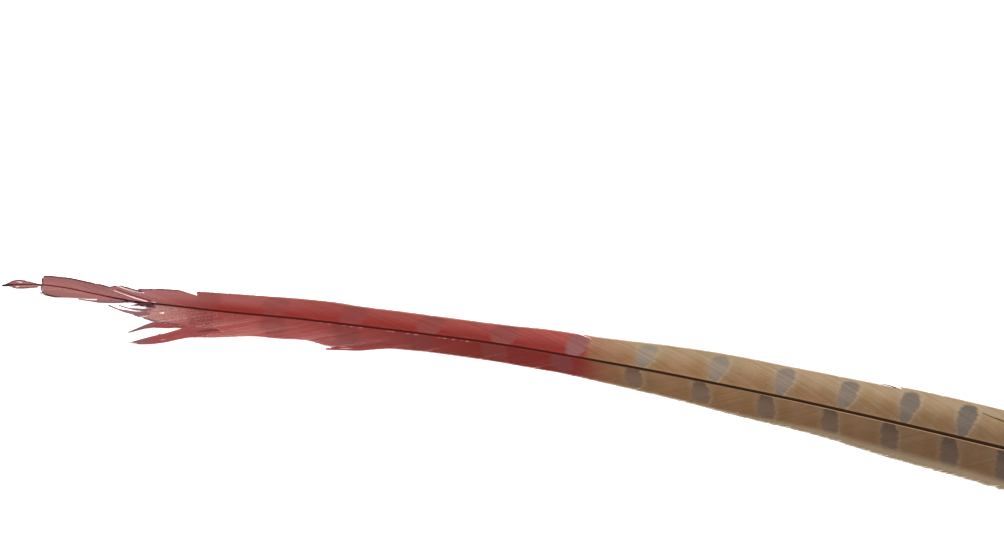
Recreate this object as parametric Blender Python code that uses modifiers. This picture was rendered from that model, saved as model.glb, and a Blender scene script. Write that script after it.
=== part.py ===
"""One pheasant tail feather, lying upper side up on a flat surface.

+X runs from the tip to the quill, +Z is up, and the origin is in the middle of
the feather's length, on the surface that it lies on.

A feather is measured here as one would on a table: by the distance from its
tip, and by the distance out from its shaft.  Each vane is built from the paths
of its barbs, which leave the shaft at a slant towards the tip.  A lock is a
bundle of neighbouring barbs.  Locks hold together near the shaft and part at
the vane's edge, and where the vane is torn they part all the way.
"""

import math

import bmesh
import bpy
from mathutils import Vector

MM = 0.001                    # the tables below are in millimetres

# ---------------------------------------------------------------- the feather
LENGTH = 520.0                # tip to the end of the quill
VANE_END = 489.0              # root of the last downy barb

# Each station is (distance from the tip, value).
SHAFT_SIDEWAYS = [(0, -10.15), (6, -8.48), (13, -7.12), (20, -6.65), (32, -6.68), (37, -6.6),
                  (50, -5.34), (66, -3.68), (88, -0.88), (110, 1.36), (127, 2.97), (146, 4.5),
                  (165, 5.37), (200, 6.25), (228, 6.32), (250, 5.97), (268, 5.5), (290, 4.8),
                  (340, 2.85), (400, 0.0), (520, -7.6)]
SHAFT_HEIGHT = [(0, 0.45), (12, 0.7), (60, 1.4), (140, 2.3), (220, 3.3), (290, 4.1),
                (360, 4.9), (425, 5.3), (465, 4.5), (500, 3.25), (520, 3.0)]
SHAFT_WIDTH = [(0, 0.4), (12, 0.6), (60, 0.8), (140, 1.0), (220, 1.3), (290, 1.6),
               (360, 2.2), (430, 3.0), (480, 3.7), (502, 4.0), (513, 3.4), (520, 1.2)]
SHAFT_DEPTH = [(0, 0.4), (12, 0.6), (60, 0.9), (140, 1.2), (220, 1.6), (290, 2.1),
               (360, 2.7), (430, 3.3), (480, 3.8), (502, 4.0), (513, 3.4), (520, 1.2)]

# Half widths of the vanes.  The far vane is the broad one, on the +Y side.
FAR_EDGE = [(0.6, 0.0), (1.5, 0.6), (3.3, 1.6), (4.2, 1.7), (5.7, 1.55), (7.4, 1.1), (9, 0.7),
            (10.6, 0.3), (11.0, 0.4), (11.5, 3.2), (12.4, 3.7), (17, 3.85), (21, 3.9),
            (24, 3.85), (28, 3.95), (30.4, 3.75), (31.2, 4.1), (33.2, 4.75), (40, 5.0),
            (46, 5.8), (50, 6.05), (57, 6.5), (66, 7.0), (87, 7.7), (95, 7.9), (104, 7.6),
            (134, 7.55), (148, 7.95), (157, 8.7), (171, 9.25), (200, 11.5), (213, 12.2),
            (225, 12.35), (243, 12.9), (268, 14.35), (290, 14.7), (340, 15.7), (400, 17.0),
            (436, 18.0), (460, 17.2), (475, 14.0), (489, 8.0)]
NEAR_EDGE = [(0.6, 0.0), (1.6, 0.4), (2.7, 0.9), (3.6, 1.4), (5, 1.6), (6.5, 1.55), (8.8, 1.25),
             (10.5, 1.05), (10.9, 0.9), (11.4, 1.4), (12.2, 2.5), (13.4, 3.65), (17, 3.9),
             (21, 3.55), (26, 3.05), (31, 2.6), (37, 3.65), (47, 5.9), (54, 6.2), (56.8, 6.3),
             (58.4, 9.4), (62, 9.0), (65, 8.55), (71, 7.45), (76, 6.85), (83, 6.8), (90, 6.35),
             (98, 7.4), (104, 6.4), (114, 5.65), (128, 5.05), (150, 5.1), (165, 5.15),
             (176, 5.65), (200, 6.7), (224, 7.9), (241, 8.35), (259, 9.9), (276, 10.5),
             (290, 11.2), (340, 13.3), (400, 15.3), (436, 16.5), (460, 15.8), (475, 13.0),
             (489, 7.5)]

# How far a barb runs towards the tip for each millimetre that it runs outwards.
BARB_LEAN = [(0, 3.6), (5, 3.4), (8, 2.2), (10.8, 0.7), (12, 3.7), (28, 4.1), (44, 4.3), (57, 3.3),
             (100, 2.7), (180, 2.2), (290, 1.75), (380, 1.4), (440, 1.0), (465, 0.65), (489, 0.3)]
BARB_HOOK = 0.3               # the outer end leans this much more than the root

# Heights of the middle of each vane's edge.  The feather stands on three places:
# on both edges at its widest, and on the far edge just behind the tip.
FAR_LIFT = [(0, 0.42), (19, 0.3), (40, 0.4), (230, 0.75), (418, 0.3), (436, 0.18), (454, 0.3),
            (489, 0.7)]
NEAR_LIFT = [(0, 0.6), (40, 0.6), (230, 0.75), (418, 0.3), (436, 0.18), (454, 0.3), (489, 0.7)]
VANE_THICKNESS = 0.4
VANE_CROWN = 0.35             # share of a vane's fall that is straight, not curved
LEAST_VANE = 3.0              # a narrower vane keeps the slopes of one this wide
CREASE = 0.12                 # depth of the crease between two locks

# ------------------------------------------------------------------ the locks
# A group is a run of barbs with no tear in it: (first root, last root, the
# distance from the tip at which its front is broken off, joined to the last).
# A broken front runs straight across the feather, but not quite square to it.
FRONT_SLANT = 0.22
MARCH = 0.1                   # step along a barb in search of its end
HALVINGS = 20                 # how often that step is halved to find the place
FAR_GROUPS = [(2.0, 10.8, 0.0, False), (12.0, 43.2, 11.5, False),
              (43.7, 53.0, 0.0, False), (53.0, 72.0, 40.1, True),
              (72.0, VANE_END, 57.6, True)]
NEAR_GROUPS = [(2.0, 10.8, 0.0, False), (12.0, 38.0, 11.1, False),
               (46.0, VANE_END, 0.0, False)]

LOCK_PITCH = [(0, 8.0), (12, 10.0), (100, 15.0), (300, 16.0), (430, 11.0), (489, 8.0)]
LINES_IN_LOCK = 3             # spaces between the barb paths that make one lock
STEPS_OUT = 6                 # spaces along a barb path
STEPS_PAST_TEAR = 4
ROOT_IN_SHAFT = 0.2           # a vane starts this share of the shaft's width out
SHORTEST_BARB = 0.3
SEAM_HOLDS = [(0, 0.9), (330, 0.9), (380, 0.7), (440, 0.5), (489, 0.35)]
SEAM_OPENS = [(0, 0.25), (120, 0.35), (310, 0.6), (400, 2.0), (440, 3.2), (489, 2.6)]
LOCK_ROUNDING = 0.03          # how much shorter a lock is along its seams

# Locks that have sprung out of the near vane.  Points are (distance from the
# tip, distance out, half width), from the root to the loose point.
SPRUNG_LOCKS = {
    "sprung_lock_upper": [(62.0, 5.8, 0.3), (56.0, 6.3, 0.5), (50.4, 6.7, 0.75), (47.3, 6.75, 0.85),
                          (44.4, 7.75, 0.55), (42.1, 9.1, 0.3), (40.8, 10.1, 0.12)],
    "sprung_lock_lower": [(66.0, 5.9, 0.3), (62.0, 6.5, 0.6), (58.5, 7.3, 1.2), (54.0, 9.3, 1.4),
                          (51.0, 10.65, 1.35), (48.2, 11.65, 1.2), (44.0, 12.9, 0.62),
                          (40.3, 13.85, 0.14)],
}
SPRUNG_LIFT = 0.18            # its root lies this much above the vane
SPRUNG_SLANT = 0.3            # a row across it leans back this much

RINGS_APART = 8.5             # along the shaft
END_RINGS = [2.0, 5.0, 513.5, 517.0, 519.2]       # more rings, where its ends are round
RING_POINTS = 12
FLATNESS = 0.75               # power that makes the round section a squarer one
QUILL_FROM, QUILL_ROUND = 440.0, 490.0            # the section turns round between these
SHAFT_SINK = 0.25             # share of its depth that the shaft's middle lies low
BELLY_GROOVE = 0.16           # depth of the groove below, as a share of the depth
PIT_DEPTH = 2.0               # the small hole at the end of the quill
PIT_SHARE = 0.55              # its width, as a share of the end's width

FAR = 1
NEAR = -1


# ------------------------------------------------------------- smooth stations
def along(stations, s):
    """The value at distance s from the tip, smooth and without overshoot."""
    if s <= stations[0][0]:
        return stations[0][1]
    if s >= stations[-1][0]:
        return stations[-1][1]
    last = len(stations) - 1
    i = max(k for k in range(last) if stations[k][0] <= s)
    (s0, v0), (s1, v1) = stations[i], stations[i + 1]
    rise = (v1 - v0) / (s1 - s0)

    def tangent(k, inner):
        if k in (0, last):
            return inner
        before = (stations[k][1] - stations[k - 1][1]) / (stations[k][0] - stations[k - 1][0])
        after = (stations[k + 1][1] - stations[k][1]) / (stations[k + 1][0] - stations[k][0])
        return 0.0 if before * after <= 0 else 2 * before * after / (before + after)

    t = (s - s0) / (s1 - s0)
    m0 = tangent(i, rise) * (s1 - s0)
    m1 = tangent(i + 1, rise) * (s1 - s0)
    return ((2 * t ** 3 - 3 * t ** 2 + 1) * v0 + (t ** 3 - 2 * t ** 2 + t) * m0
            + (3 * t ** 2 - 2 * t ** 3) * v1 + (t ** 3 - t ** 2) * m1)


def edge(side, s):
    """Half width of a vane."""
    return along(FAR_EDGE if side == FAR else NEAR_EDGE, s)


# ------------------------------------------------------------ places in space
def shaft_line(s):
    """The point of the shaft where the vanes join it, and the way out to +Y."""
    ahead, behind = along(SHAFT_SIDEWAYS, s + 1.0), along(SHAFT_SIDEWAYS, s - 1.0)
    out = Vector((-(ahead - behind) / 2.0, 1.0, 0.0)).normalized()
    return Vector((s - LENGTH / 2, along(SHAFT_SIDEWAYS, s), along(SHAFT_HEIGHT, s))), out


def vane_point(side, s, out, rise=0.0):
    """A point of a vane: it falls from the shaft, ever steeper, to the surface."""
    centre, across = shaft_line(s)
    share = min(out / max(edge(side, s), LEAST_VANE), 1.0)
    fall = VANE_CROWN * share + (1.0 - VANE_CROWN) * share ** 2
    lift = along(FAR_LIFT if side == FAR else NEAR_LIFT, s)
    place = centre + across * (side * out)
    place.z = centre.z - (centre.z - lift) * fall + rise
    return place * MM


# ------------------------------------------------------------------ the barbs
def barb_place(side, root, out):
    """Distance from the tip of a barb's point that lies so far out."""
    lean = along(BARB_LEAN, root)
    width = max(edge(side, root), LEAST_VANE)
    return root - lean * out * (1.0 - BARB_HOOK / 2 + BARB_HOOK * out / width)


def front_line(side, front, out):
    """Distance from the tip of a broken front, so far out from the shaft."""
    return front - side * FRONT_SLANT * out


def barb_end(side, root, front):
    """How far out a barb gets: to the vane's edge, or to its group's broken front."""
    def inside(out):
        s = barb_place(side, root, out)
        return s > front_line(side, front, out) and out < edge(side, s)

    high = MARCH
    while inside(high):
        high += MARCH
    low = high - MARCH
    for _ in range(HALVINGS):
        middle = (low + high) / 2
        low, high = (middle, high) if inside(middle) else (low, middle)
    return low


def barb_meets(side, root, front):
    """How far out a barb crosses the line of a broken front."""
    low, high = 0.0, 2 * edge(side, root)
    for _ in range(HALVINGS):
        middle = (low + high) / 2
        ahead = barb_place(side, root, middle) > front_line(side, front, middle)
        low, high = (middle, high) if ahead else (low, middle)
    return low


# ------------------------------------------------------------ vanes from locks
def lock_roots(first, last):
    """Roots of the seams between the locks of one group, both ends included."""
    roots = [first]
    while roots[-1] < last:
        roots.append(roots[-1] + along(LOCK_PITCH, roots[-1]))
    stretch = (last - first) / (roots[-1] - first)
    return [first + (root - first) * stretch for root in roots]


def steps(first, last, count):
    return [first + (last - first) * k / count for k in range(count + 1)]


def barb_outs(side, root, front, split=None):
    """How far out the points of a barb path lie, from inside the shaft to its end."""
    inner = along(SHAFT_WIDTH, root) * ROOT_IN_SHAFT
    end = barb_end(side, root, front)
    if end < inner + SHORTEST_BARB:
        return [inner]
    if split:
        return steps(inner, split, STEPS_OUT) + steps(split, end, STEPS_PAST_TEAR)[1:]
    return steps(inner, end, STEPS_OUT)


def barb_row(bm, side, root, outs, spread=0.0, holds=1.0, crease=0.0):
    """Vertices along a barb path.  Past the part that holds, they spread aside."""
    row = []
    for out in outs:
        share = out / outs[-1]
        free = (share - holds) / (1.0 - holds) if share > holds else 0.0
        place = vane_point(side, barb_place(side, root, out) + spread * free, out, -crease * share)
        row.append(bm.verts.new(place))
    return row


def seam_rows(bm, side, root, front):
    """The two rows of a seam: the same vertices where it holds, then a notch."""
    holds, spread = along(SEAM_HOLDS, root), along(SEAM_OPENS, root) / 2
    outs = barb_outs(side, root, front)
    outs = [out * (1.0 - LOCK_ROUNDING) for out in outs]
    before = barb_row(bm, side, root, outs, -spread, holds, CREASE)
    after = barb_row(bm, side, root, outs, spread, holds, CREASE)
    for k, out in enumerate(outs):
        if out <= outs[-1] * holds:
            bm.verts.remove(after[k])
            after[k] = before[k]
    return before, after


def zip_strip(bm, lower, upper):
    """Fill the strip between two rows of vertices, which may differ in number."""
    i = j = 0
    while i < len(lower) - 1 or j < len(upper) - 1:
        next_i = (i + 1) / (len(lower) - 1) if i < len(lower) - 1 else math.inf
        next_j = (j + 1) / (len(upper) - 1) if j < len(upper) - 1 else math.inf
        if abs(next_i - next_j) < 1e-6:
            bm.faces.new((lower[i], lower[i + 1], upper[j + 1], upper[j]))
            i, j = i + 1, j + 1
        elif next_i < next_j:
            bm.faces.new((lower[i], lower[i + 1], upper[j]))
            i += 1
        else:
            bm.faces.new((lower[i], upper[j + 1], upper[j]))
            j += 1


def build_vane(name, side, groups):
    """One vane, as an open sheet with its tears and seams, made solid."""
    bm = bmesh.new()
    row = None
    for number, (first, last, front, joined) in enumerate(groups):
        if not joined:
            row = barb_row(bm, side, first, barb_outs(side, first, front))
        seams = lock_roots(first, last)
        for low, high in zip(seams, seams[1:]):
            for line in range(1, LINES_IN_LOCK):
                root = low + (high - low) * line / LINES_IN_LOCK
                new = barb_row(bm, side, root, barb_outs(side, root, front))
                zip_strip(bm, row, new)
                row = new
            if high < last:
                new, following = seam_rows(bm, side, high, front)
            elif number + 1 < len(groups) and groups[number + 1][3]:
                # the path runs on past the broken front of the next group
                split = barb_meets(side, high, groups[number + 1][2])
                new = barb_row(bm, side, high, barb_outs(side, high, front, split))
                following = new[:STEPS_OUT + 1]
            else:
                new = following = barb_row(bm, side, high, barb_outs(side, high, front))
            zip_strip(bm, row, new)
            row = following
    bmesh.ops.recalc_face_normals(bm, faces=bm.faces)
    return solid_sheet(name, bm)


def build_sprung_lock(name, stations):
    """A lock that has sprung out of the near vane: a strip that ends in a point."""
    bm = bmesh.new()
    rows = []
    for number, (s, out, half) in enumerate(stations):
        lift = SPRUNG_LIFT * (1.0 - number / len(stations))
        rows.append([bm.verts.new(vane_point(NEAR, s + half * k * SPRUNG_SLANT, out + half * k, lift))
                     for k in (-1, 0, 1)])
    for row, following in zip(rows, rows[1:]):
        for k in range(2):
            bm.faces.new((row[k], row[k + 1], following[k + 1], following[k]))
    bmesh.ops.recalc_face_normals(bm, faces=bm.faces)
    return solid_sheet(name, bm)


def solid_sheet(name, bm):
    """An object with the sheet's mesh and a Solidify modifier."""
    mesh = bpy.data.meshes.new(name)
    bm.to_mesh(mesh)
    bm.free()
    sheet = bpy.data.objects.new(name, mesh)
    solidify = sheet.modifiers.new("thickness", 'SOLIDIFY')
    solidify.thickness = VANE_THICKNESS * MM
    solidify.offset = 0.0
    return sheet


# ------------------------------------------------------------------ the shaft
def shaft_ring(s):
    """Points round the shaft: flat on top and grooved below, round at the quill."""
    centre, across = shaft_line(s)
    half_width, half_depth = along(SHAFT_WIDTH, s) / 2, along(SHAFT_DEPTH, s) / 2
    quill = min(max((s - QUILL_FROM) / (QUILL_ROUND - QUILL_FROM), 0.0), 1.0)
    power = FLATNESS + (1.0 - FLATNESS) * quill
    ring = []
    for k in range(RING_POINTS):
        angle = 2 * math.pi * k / RING_POINTS + math.pi / 2
        y, z = math.cos(angle), math.sin(angle)
        y = math.copysign(abs(y) ** power, y)
        z = math.copysign(abs(z) ** power, z)
        if k == RING_POINTS // 2:
            z += 2 * BELLY_GROOVE * (1.0 - quill)
        place = centre + across * (y * half_width)
        place.z += z * half_depth - 2 * SHAFT_SINK * half_depth
        ring.append(place * MM)
    return ring


def build_shaft(name):
    """The shaft from its hair-fine tip to the quill, with the pit at its end."""
    bm = bmesh.new()
    count = round(LENGTH / RINGS_APART)
    places = sorted(steps(0.0, LENGTH, count) + END_RINGS)
    rings = [[bm.verts.new(point) for point in shaft_ring(s)] for s in places]
    end = [vert.co.copy() for vert in rings[-1]]
    middle = sum(end, Vector()) / len(end)
    for depth in (0.0, PIT_DEPTH):
        inward = Vector((-depth * MM, 0, 0))
        rings.append([bm.verts.new(middle + (point - middle) * PIT_SHARE + inward)
                      for point in end])
    for ring, following in zip(rings, rings[1:]):
        for k in range(RING_POINTS):
            m = (k + 1) % RING_POINTS
            bm.faces.new((ring[k], ring[m], following[m], following[k]))
    bm.faces.new(rings[0])
    bm.faces.new(rings[-1])
    bmesh.ops.recalc_face_normals(bm, faces=bm.faces)
    mesh = bpy.data.meshes.new(name)
    bm.to_mesh(mesh)
    bm.free()
    return bpy.data.objects.new(name, mesh)


# ------------------------------------------------------------------ materials
def make_material(name, colour, roughness):
    material = bpy.data.materials.new(name)
    material.diffuse_color = (*colour, 1.0)
    material.use_nodes = True
    shader = material.node_tree.nodes["Principled BSDF"]
    shader.inputs["Base Color"].default_value = (*colour, 1.0)
    shader.inputs["Roughness"].default_value = roughness
    shader.inputs["Metallic"].default_value = 0.0
    return material


def build():
    for old in list(bpy.context.scene.objects):
        bpy.data.objects.remove(old)
    parts = bpy.data.collections.new("pheasant_tail_feather")
    helpers = bpy.data.collections.new("helpers")
    for collection in (parts, helpers):
        bpy.context.scene.collection.children.link(collection)

    feather = build_shaft("tail_feather")
    parts.objects.link(feather)
    feather.data.materials.append(make_material("dark_brown_shaft", (0.09, 0.04, 0.02), 0.45))

    vane = make_material("barred_buff_vane", (0.33, 0.2, 0.11), 0.65)
    sheets = [build_vane("far_vane", FAR, FAR_GROUPS), build_vane("near_vane", NEAR, NEAR_GROUPS)]
    sheets += [build_sprung_lock(name, stations) for name, stations in SPRUNG_LOCKS.items()]
    for sheet in sheets:
        helpers.objects.link(sheet)
        sheet.data.materials.append(vane)
        sheet.hide_render = True
        sheet.display_type = 'WIRE'
        union = feather.modifiers.new("join_" + sheet.name, 'BOOLEAN')
        union.operation = 'UNION'
        union.solver = 'EXACT'
        union.object = sheet
        union.use_self = True
        union.material_mode = 'TRANSFER'


build()
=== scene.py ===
# %% [markdown]
# # A pheasant's tail feather, barb by barb
#
# The frame holds one plain solid: a long shaft with a broad vane on one side and a
# narrow vane on the other.  A real vane isn't a sheet.  It is about a thousand
# barbs, fine slanting fibres that hook into each other, and every tear, lock and
# frayed edge follows from that.  So this lesson lays the barbs one by one along
# the paths that the solid's locks follow, and colours them with nodes.

# %% Load the frame
import math

import bpy
import numpy as np
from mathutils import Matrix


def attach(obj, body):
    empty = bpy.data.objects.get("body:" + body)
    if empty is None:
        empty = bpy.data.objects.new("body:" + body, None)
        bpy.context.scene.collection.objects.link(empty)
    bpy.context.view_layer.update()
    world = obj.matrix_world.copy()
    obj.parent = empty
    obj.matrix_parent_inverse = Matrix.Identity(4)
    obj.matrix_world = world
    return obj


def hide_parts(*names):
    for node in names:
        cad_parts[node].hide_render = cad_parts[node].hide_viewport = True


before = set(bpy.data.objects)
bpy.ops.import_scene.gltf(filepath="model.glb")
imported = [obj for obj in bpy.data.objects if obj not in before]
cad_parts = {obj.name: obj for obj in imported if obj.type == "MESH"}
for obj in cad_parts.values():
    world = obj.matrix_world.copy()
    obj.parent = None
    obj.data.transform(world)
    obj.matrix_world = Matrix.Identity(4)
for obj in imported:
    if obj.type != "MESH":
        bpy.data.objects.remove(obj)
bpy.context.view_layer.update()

# %% [markdown]
# ## Measuring on a feather
#
# Plain x, y and z would make hard work of a bowed feather.  As on a table, a place
# is given by its distance from the tip and its distance out from the shaft, both
# in millimetres.  Each size that changes along the feather is a short list of
# stations, and a smooth rule without overshoot runs through them.  The stations
# are those of the solid, with a few more where an edge is torn or nicked, so what
# is laid here lies where the solid is.

# %% A smooth rule through stations
MM = 0.001
FAR, NEAR = 1, -1             # the broad vane is the far one, on the +Y side


def profile(stations):
    """A rule that gives the value at any distance from the tip."""
    place, value = np.array(stations, dtype=float).T
    rise = np.diff(value) / np.diff(place)
    slope = np.concatenate(([rise[0]], np.zeros(len(rise) - 1), [rise[-1]]))
    same_way = rise[:-1] * rise[1:] > 0
    slope[1:-1][same_way] = (2 * rise[:-1] * rise[1:])[same_way] / (rise[:-1] + rise[1:])[same_way]

    def rule(s):
        s = np.clip(s, place[0], place[-1])
        i = np.clip(np.searchsorted(place, s, side="right") - 1, 0, len(rise) - 1)
        gap = place[i + 1] - place[i]
        t = (s - place[i]) / gap
        return ((2 * t ** 3 - 3 * t ** 2 + 1) * value[i] + (t ** 3 - 2 * t ** 2 + t) * slope[i] * gap
                + (3 * t ** 2 - 2 * t ** 3) * value[i + 1] + (t ** 3 - t ** 2) * slope[i + 1] * gap)

    return rule


# %% The feather's sizes
LENGTH = 520.0                # tip to the end of the quill

shaft_sideways = profile([(0, -10.15), (6, -8.48), (13, -7.12), (20, -6.65), (32, -6.68),
                          (37, -6.6), (50, -5.34), (66, -3.68), (88, -0.88), (110, 1.36),
                          (127, 2.97), (146, 4.5), (165, 5.37), (200, 6.25), (228, 6.32),
                          (250, 5.97), (268, 5.5), (290, 4.8), (340, 2.85), (400, 0.0),
                          (520, -7.6)])
shaft_height = profile([(0, 0.45), (12, 0.7), (60, 1.4), (140, 2.3), (220, 3.3), (290, 4.1),
                        (360, 4.9), (425, 5.3), (465, 4.5), (500, 3.25), (520, 3.0)])
shaft_width = profile([(0, 0.6), (4, 0.7), (12, 0.6), (60, 0.8), (140, 1.0), (220, 1.3), (290, 1.6),
                       (360, 2.2), (430, 3.0), (480, 3.7), (502, 4.0), (513, 3.4), (520, 1.2)])
shaft_depth = profile([(0, 0.5), (4, 0.6), (12, 0.6), (60, 0.9), (140, 1.2), (220, 1.6), (290, 2.1),
                       (360, 2.7), (430, 3.3), (480, 3.8), (502, 4.0), (513, 3.4), (520, 1.2)])
far_edge = profile([(0.6, 0.0), (1.5, 0.6), (3.3, 1.6), (4.2, 1.7), (5.7, 1.55), (7.4, 1.1), (9, 0.7),
                    (10.6, 0.3), (10.8, 0.6), (11.1, 3.1), (11.8, 3.5), (17, 3.8), (21, 3.9),
                    (24, 3.85), (28, 3.95), (30.4, 3.75), (31.2, 4.1), (33.2, 4.75), (40, 5.0),
                    (46, 5.8), (50, 6.05), (57, 6.5), (66, 7.0), (87, 7.7), (95, 7.9), (104, 7.6),
                    (134, 7.55), (148, 7.95), (157, 8.7), (171, 9.25), (200, 11.5), (213, 12.2),
                    (225, 12.35), (243, 12.9), (252, 13.2), (257.6, 13.35), (259.2, 14.05),
                    (268, 14.45), (290, 14.7), (340, 15.7), (400, 17.0), (436, 18.0),
                    (460, 17.2), (475, 14.0), (489, 8.0)])
near_edge = profile([(0.6, 0.0), (1.6, 0.4), (2.7, 0.9), (3.6, 1.4), (5, 1.6), (6.5, 1.55), (8.8, 1.25),
                     (10.5, 1.05), (10.8, 1.0), (11.1, 1.6), (11.7, 2.5), (12.8, 3.5), (17, 3.8),
                     (21, 3.55), (26, 3.05), (31, 2.6), (37, 3.65), (47, 5.9), (54, 6.2),
                     (56.6, 6.25), (57.8, 9.45), (62, 9.0), (65, 8.55), (71, 7.45), (76, 6.85),
                     (83, 6.8), (90, 6.35), (98, 7.4), (104, 6.4), (114, 5.65), (119, 5.4),
                     (128, 5.05), (150, 5.1), (165, 5.15), (176, 5.65), (188, 6.2), (200, 6.7),
                     (212, 7.4), (224, 7.9), (232, 8.05), (241, 8.35), (250, 9.15), (259, 9.9),
                     (268, 10.3), (276, 10.5), (290, 11.2), (340, 13.3), (400, 15.3), (436, 16.5),
                     (460, 15.8), (475, 13.0), (489, 7.5)])


def edge(side, s):
    """Half width of a vane."""
    return far_edge(s) if side == FAR else near_edge(s)


# %% How high its edges lie
# A real feather stands on a few places only.  This one stands on both edges at its
# widest, and on the far edge just behind the tip.
far_lift = profile([(0, 0.42), (19, 0.3), (40, 0.4), (230, 0.75), (418, 0.3), (436, 0.18),
                    (454, 0.3), (489, 0.7)])
near_lift = profile([(0, 0.6), (40, 0.6), (230, 0.75), (418, 0.3), (436, 0.18), (454, 0.3),
                     (489, 0.7)])


def edge_lift(side, s):
    """Height of a vane's edge above the surface."""
    return far_lift(s) if side == FAR else near_lift(s)


# %% From feather places to points in space
VANE_CROWN = 0.35             # share of a vane's fall that is straight, not curved
LEAST_VANE = 3.0              # a narrower vane keeps the slopes of one this wide


def shaft_line(s):
    """The points where the vanes join the shaft, and the way out to +Y there."""
    lean = (shaft_sideways(s + 1.0) - shaft_sideways(s - 1.0)) / 2.0
    stretch = np.hypot(lean, 1.0)
    centre = np.stack([s - LENGTH / 2, shaft_sideways(s), shaft_height(s)], axis=-1)
    across = np.stack([-lean / stretch, 1.0 / stretch, np.zeros_like(stretch)], axis=-1)
    return centre, across


def vane_point(side, s, out, rise=0.0):
    """Points of a vane, in millimetres: it falls ever steeper from shaft to surface."""
    s, out, rise = np.broadcast_arrays(s, out, rise)
    centre, across = shaft_line(s)
    share = np.abs(out) / np.maximum(edge(side, s), LEAST_VANE)
    fall = VANE_CROWN * share + (1.0 - VANE_CROWN) * share ** 2
    place = centre + across * (side * out)[..., None]
    drop = centre[..., 2] - edge_lift(side, s)
    place[..., 2] = centre[..., 2] - drop * np.minimum(fall, 1.0) + rise
    return place


middle_of_vane = vane_point(FAR, np.array([250.0]), np.array([6.0]))
print("a place on the far vane, mm:", middle_of_vane.round(1))

# %% [markdown]
# ## The path of a barb
#
# A barb leaves the shaft at a slant towards the tip and hooks a little further
# forward at its end.  Where the vane was torn, a barb is broken off at a front.
# These are the rules that shape the solid too, written here for whole arrays,
# because there are more than two thousand barbs.

# %% Where a barb runs and where it ends
barb_lean = profile([(0, 3.6), (5, 3.4), (8, 2.2), (10.8, 0.7), (12, 3.7), (28, 4.1), (44, 4.3),
                     (57, 3.3), (100, 2.7), (180, 2.2), (290, 1.75), (380, 1.4), (440, 1.0),
                     (465, 0.65), (489, 0.3)])
BARB_HOOK = 0.3
FRONT_SLANT = 0.22
MARCH = 0.05                  # step along a barb in search of its end
LONGEST_OUT = 20.0


def barb_place(side, root, out):
    """Distance from the tip of a barb's point that lies so far out."""
    width = np.maximum(edge(side, root), LEAST_VANE)
    return root - barb_lean(root) * out * (1.0 - BARB_HOOK / 2 + BARB_HOOK * out / width)


def barb_reach(side, root, front):
    """How far out each barb gets: to the vane's edge, or to a broken front."""
    out = np.arange(1, int(LONGEST_OUT / MARCH)) * MARCH
    s = barb_place(side, root[:, None], out)
    inside = (s > front[:, None] - side * FRONT_SLANT * out) & (out < edge(side, s))
    return np.maximum(np.argmin(inside, axis=1), 1) * MARCH


print("reach of a barb rooted 250 mm from the tip:",
      barb_reach(FAR, np.array([250.0]), np.array([0.0])))

# %% [markdown]
# ## One mesh from many strands
#
# Hair curves or particles would be quick to grow, but they aren't surfaces, and
# the exported feather would lose them.  So each barb is a closed prism with three
# sides: a ridge on top, as the real one has, and a flat underside.  All strands of
# a piece have the same number of stations, so numpy can work out the corners of
# all of them at once.  Each strand gets its own column on the UV map, and the
# columns stand in a few rows, like books on shelves.

# %% Build strands
COLUMN_FILL = 0.92            # share of a column's width that a strand takes
SHELF_FILL = 0.96             # share of a shelf's height that its strands take
SIDES_AT = np.array([0.0, 0.32, 0.64, 0.98])    # borders of the three sides in a column
ENDS_AT = (0.06, 0.94)        # where a strand starts and ends on its shelf
END_ROOM = 0.04               # room for the triangle on each end
STRAND_SHARP = 55             # degrees from which an edge is sharp


def strand_faces(count, stations, turned):
    """Quads round every strand, and a triangle on each of its ends."""
    first = np.arange(count)[:, None, None] * stations * 3
    here = first + np.arange(stations - 1)[None, :, None] * 3
    corner = np.arange(3)[None, None, :]
    a, b = here + corner, here + (corner + 1) % 3
    quads = np.stack([a, b, b + 3, a + 3], axis=-1).reshape(-1, 4)
    start = first[:, 0] + np.array([[2, 1, 0]])
    end = first[:, 0] + (stations - 1) * 3 + np.array([[0, 1, 2]])
    tris = np.concatenate([start, end])
    if turned:
        quads, tris = quads[:, ::-1], tris[:, ::-1]
    return quads, tris


def shelf_map(count, stations, shelves):
    """Corner places on the UV map, for strands in columns on so many shelves."""
    per_shelf = math.ceil(count / shelves)
    index = np.arange(count)
    left = (index % per_shelf) / per_shelf
    bottom = (index // per_shelf) / shelves
    wide = COLUMN_FILL / per_shelf
    high = SHELF_FILL / shelves
    u = left[:, None, None] + SIDES_AT * wide
    v = bottom[:, None, None] + np.linspace(*ENDS_AT, stations)[:, None] * high
    return np.stack(np.broadcast_arrays(u, v), axis=-1), high


def strand_uvs(count, stations, shelves, turned):
    """UV places, in the order of the mesh's face corners."""
    grid, high = shelf_map(count, stations, shelves)
    near = np.stack([grid[:, :-1, :3], grid[:, :-1, 1:], grid[:, 1:, 1:], grid[:, 1:, :3]], axis=3)
    quads = near.reshape(-1, 4, 2)
    low, top = grid[:, 0], grid[:, -1]
    drop = np.array([0.0, END_ROOM * high])
    start = np.stack([low[:, 3], low[:, 0], (low[:, 0] + low[:, 3]) / 2 - drop], axis=1)
    end = np.stack([top[:, 0], top[:, 3], (top[:, 0] + top[:, 3]) / 2 + drop], axis=1)
    tris = np.concatenate([start, end])
    if turned:
        quads, tris = quads[:, ::-1], tris[:, ::-1]
    return np.concatenate([quads.reshape(-1, 2), tris.reshape(-1, 2)])


def add_object(name, data):
    """An object that shows this mesh, lamp or camera."""
    added = bpy.data.objects.new(name, data)
    bpy.context.scene.collection.objects.link(added)
    return added


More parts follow.
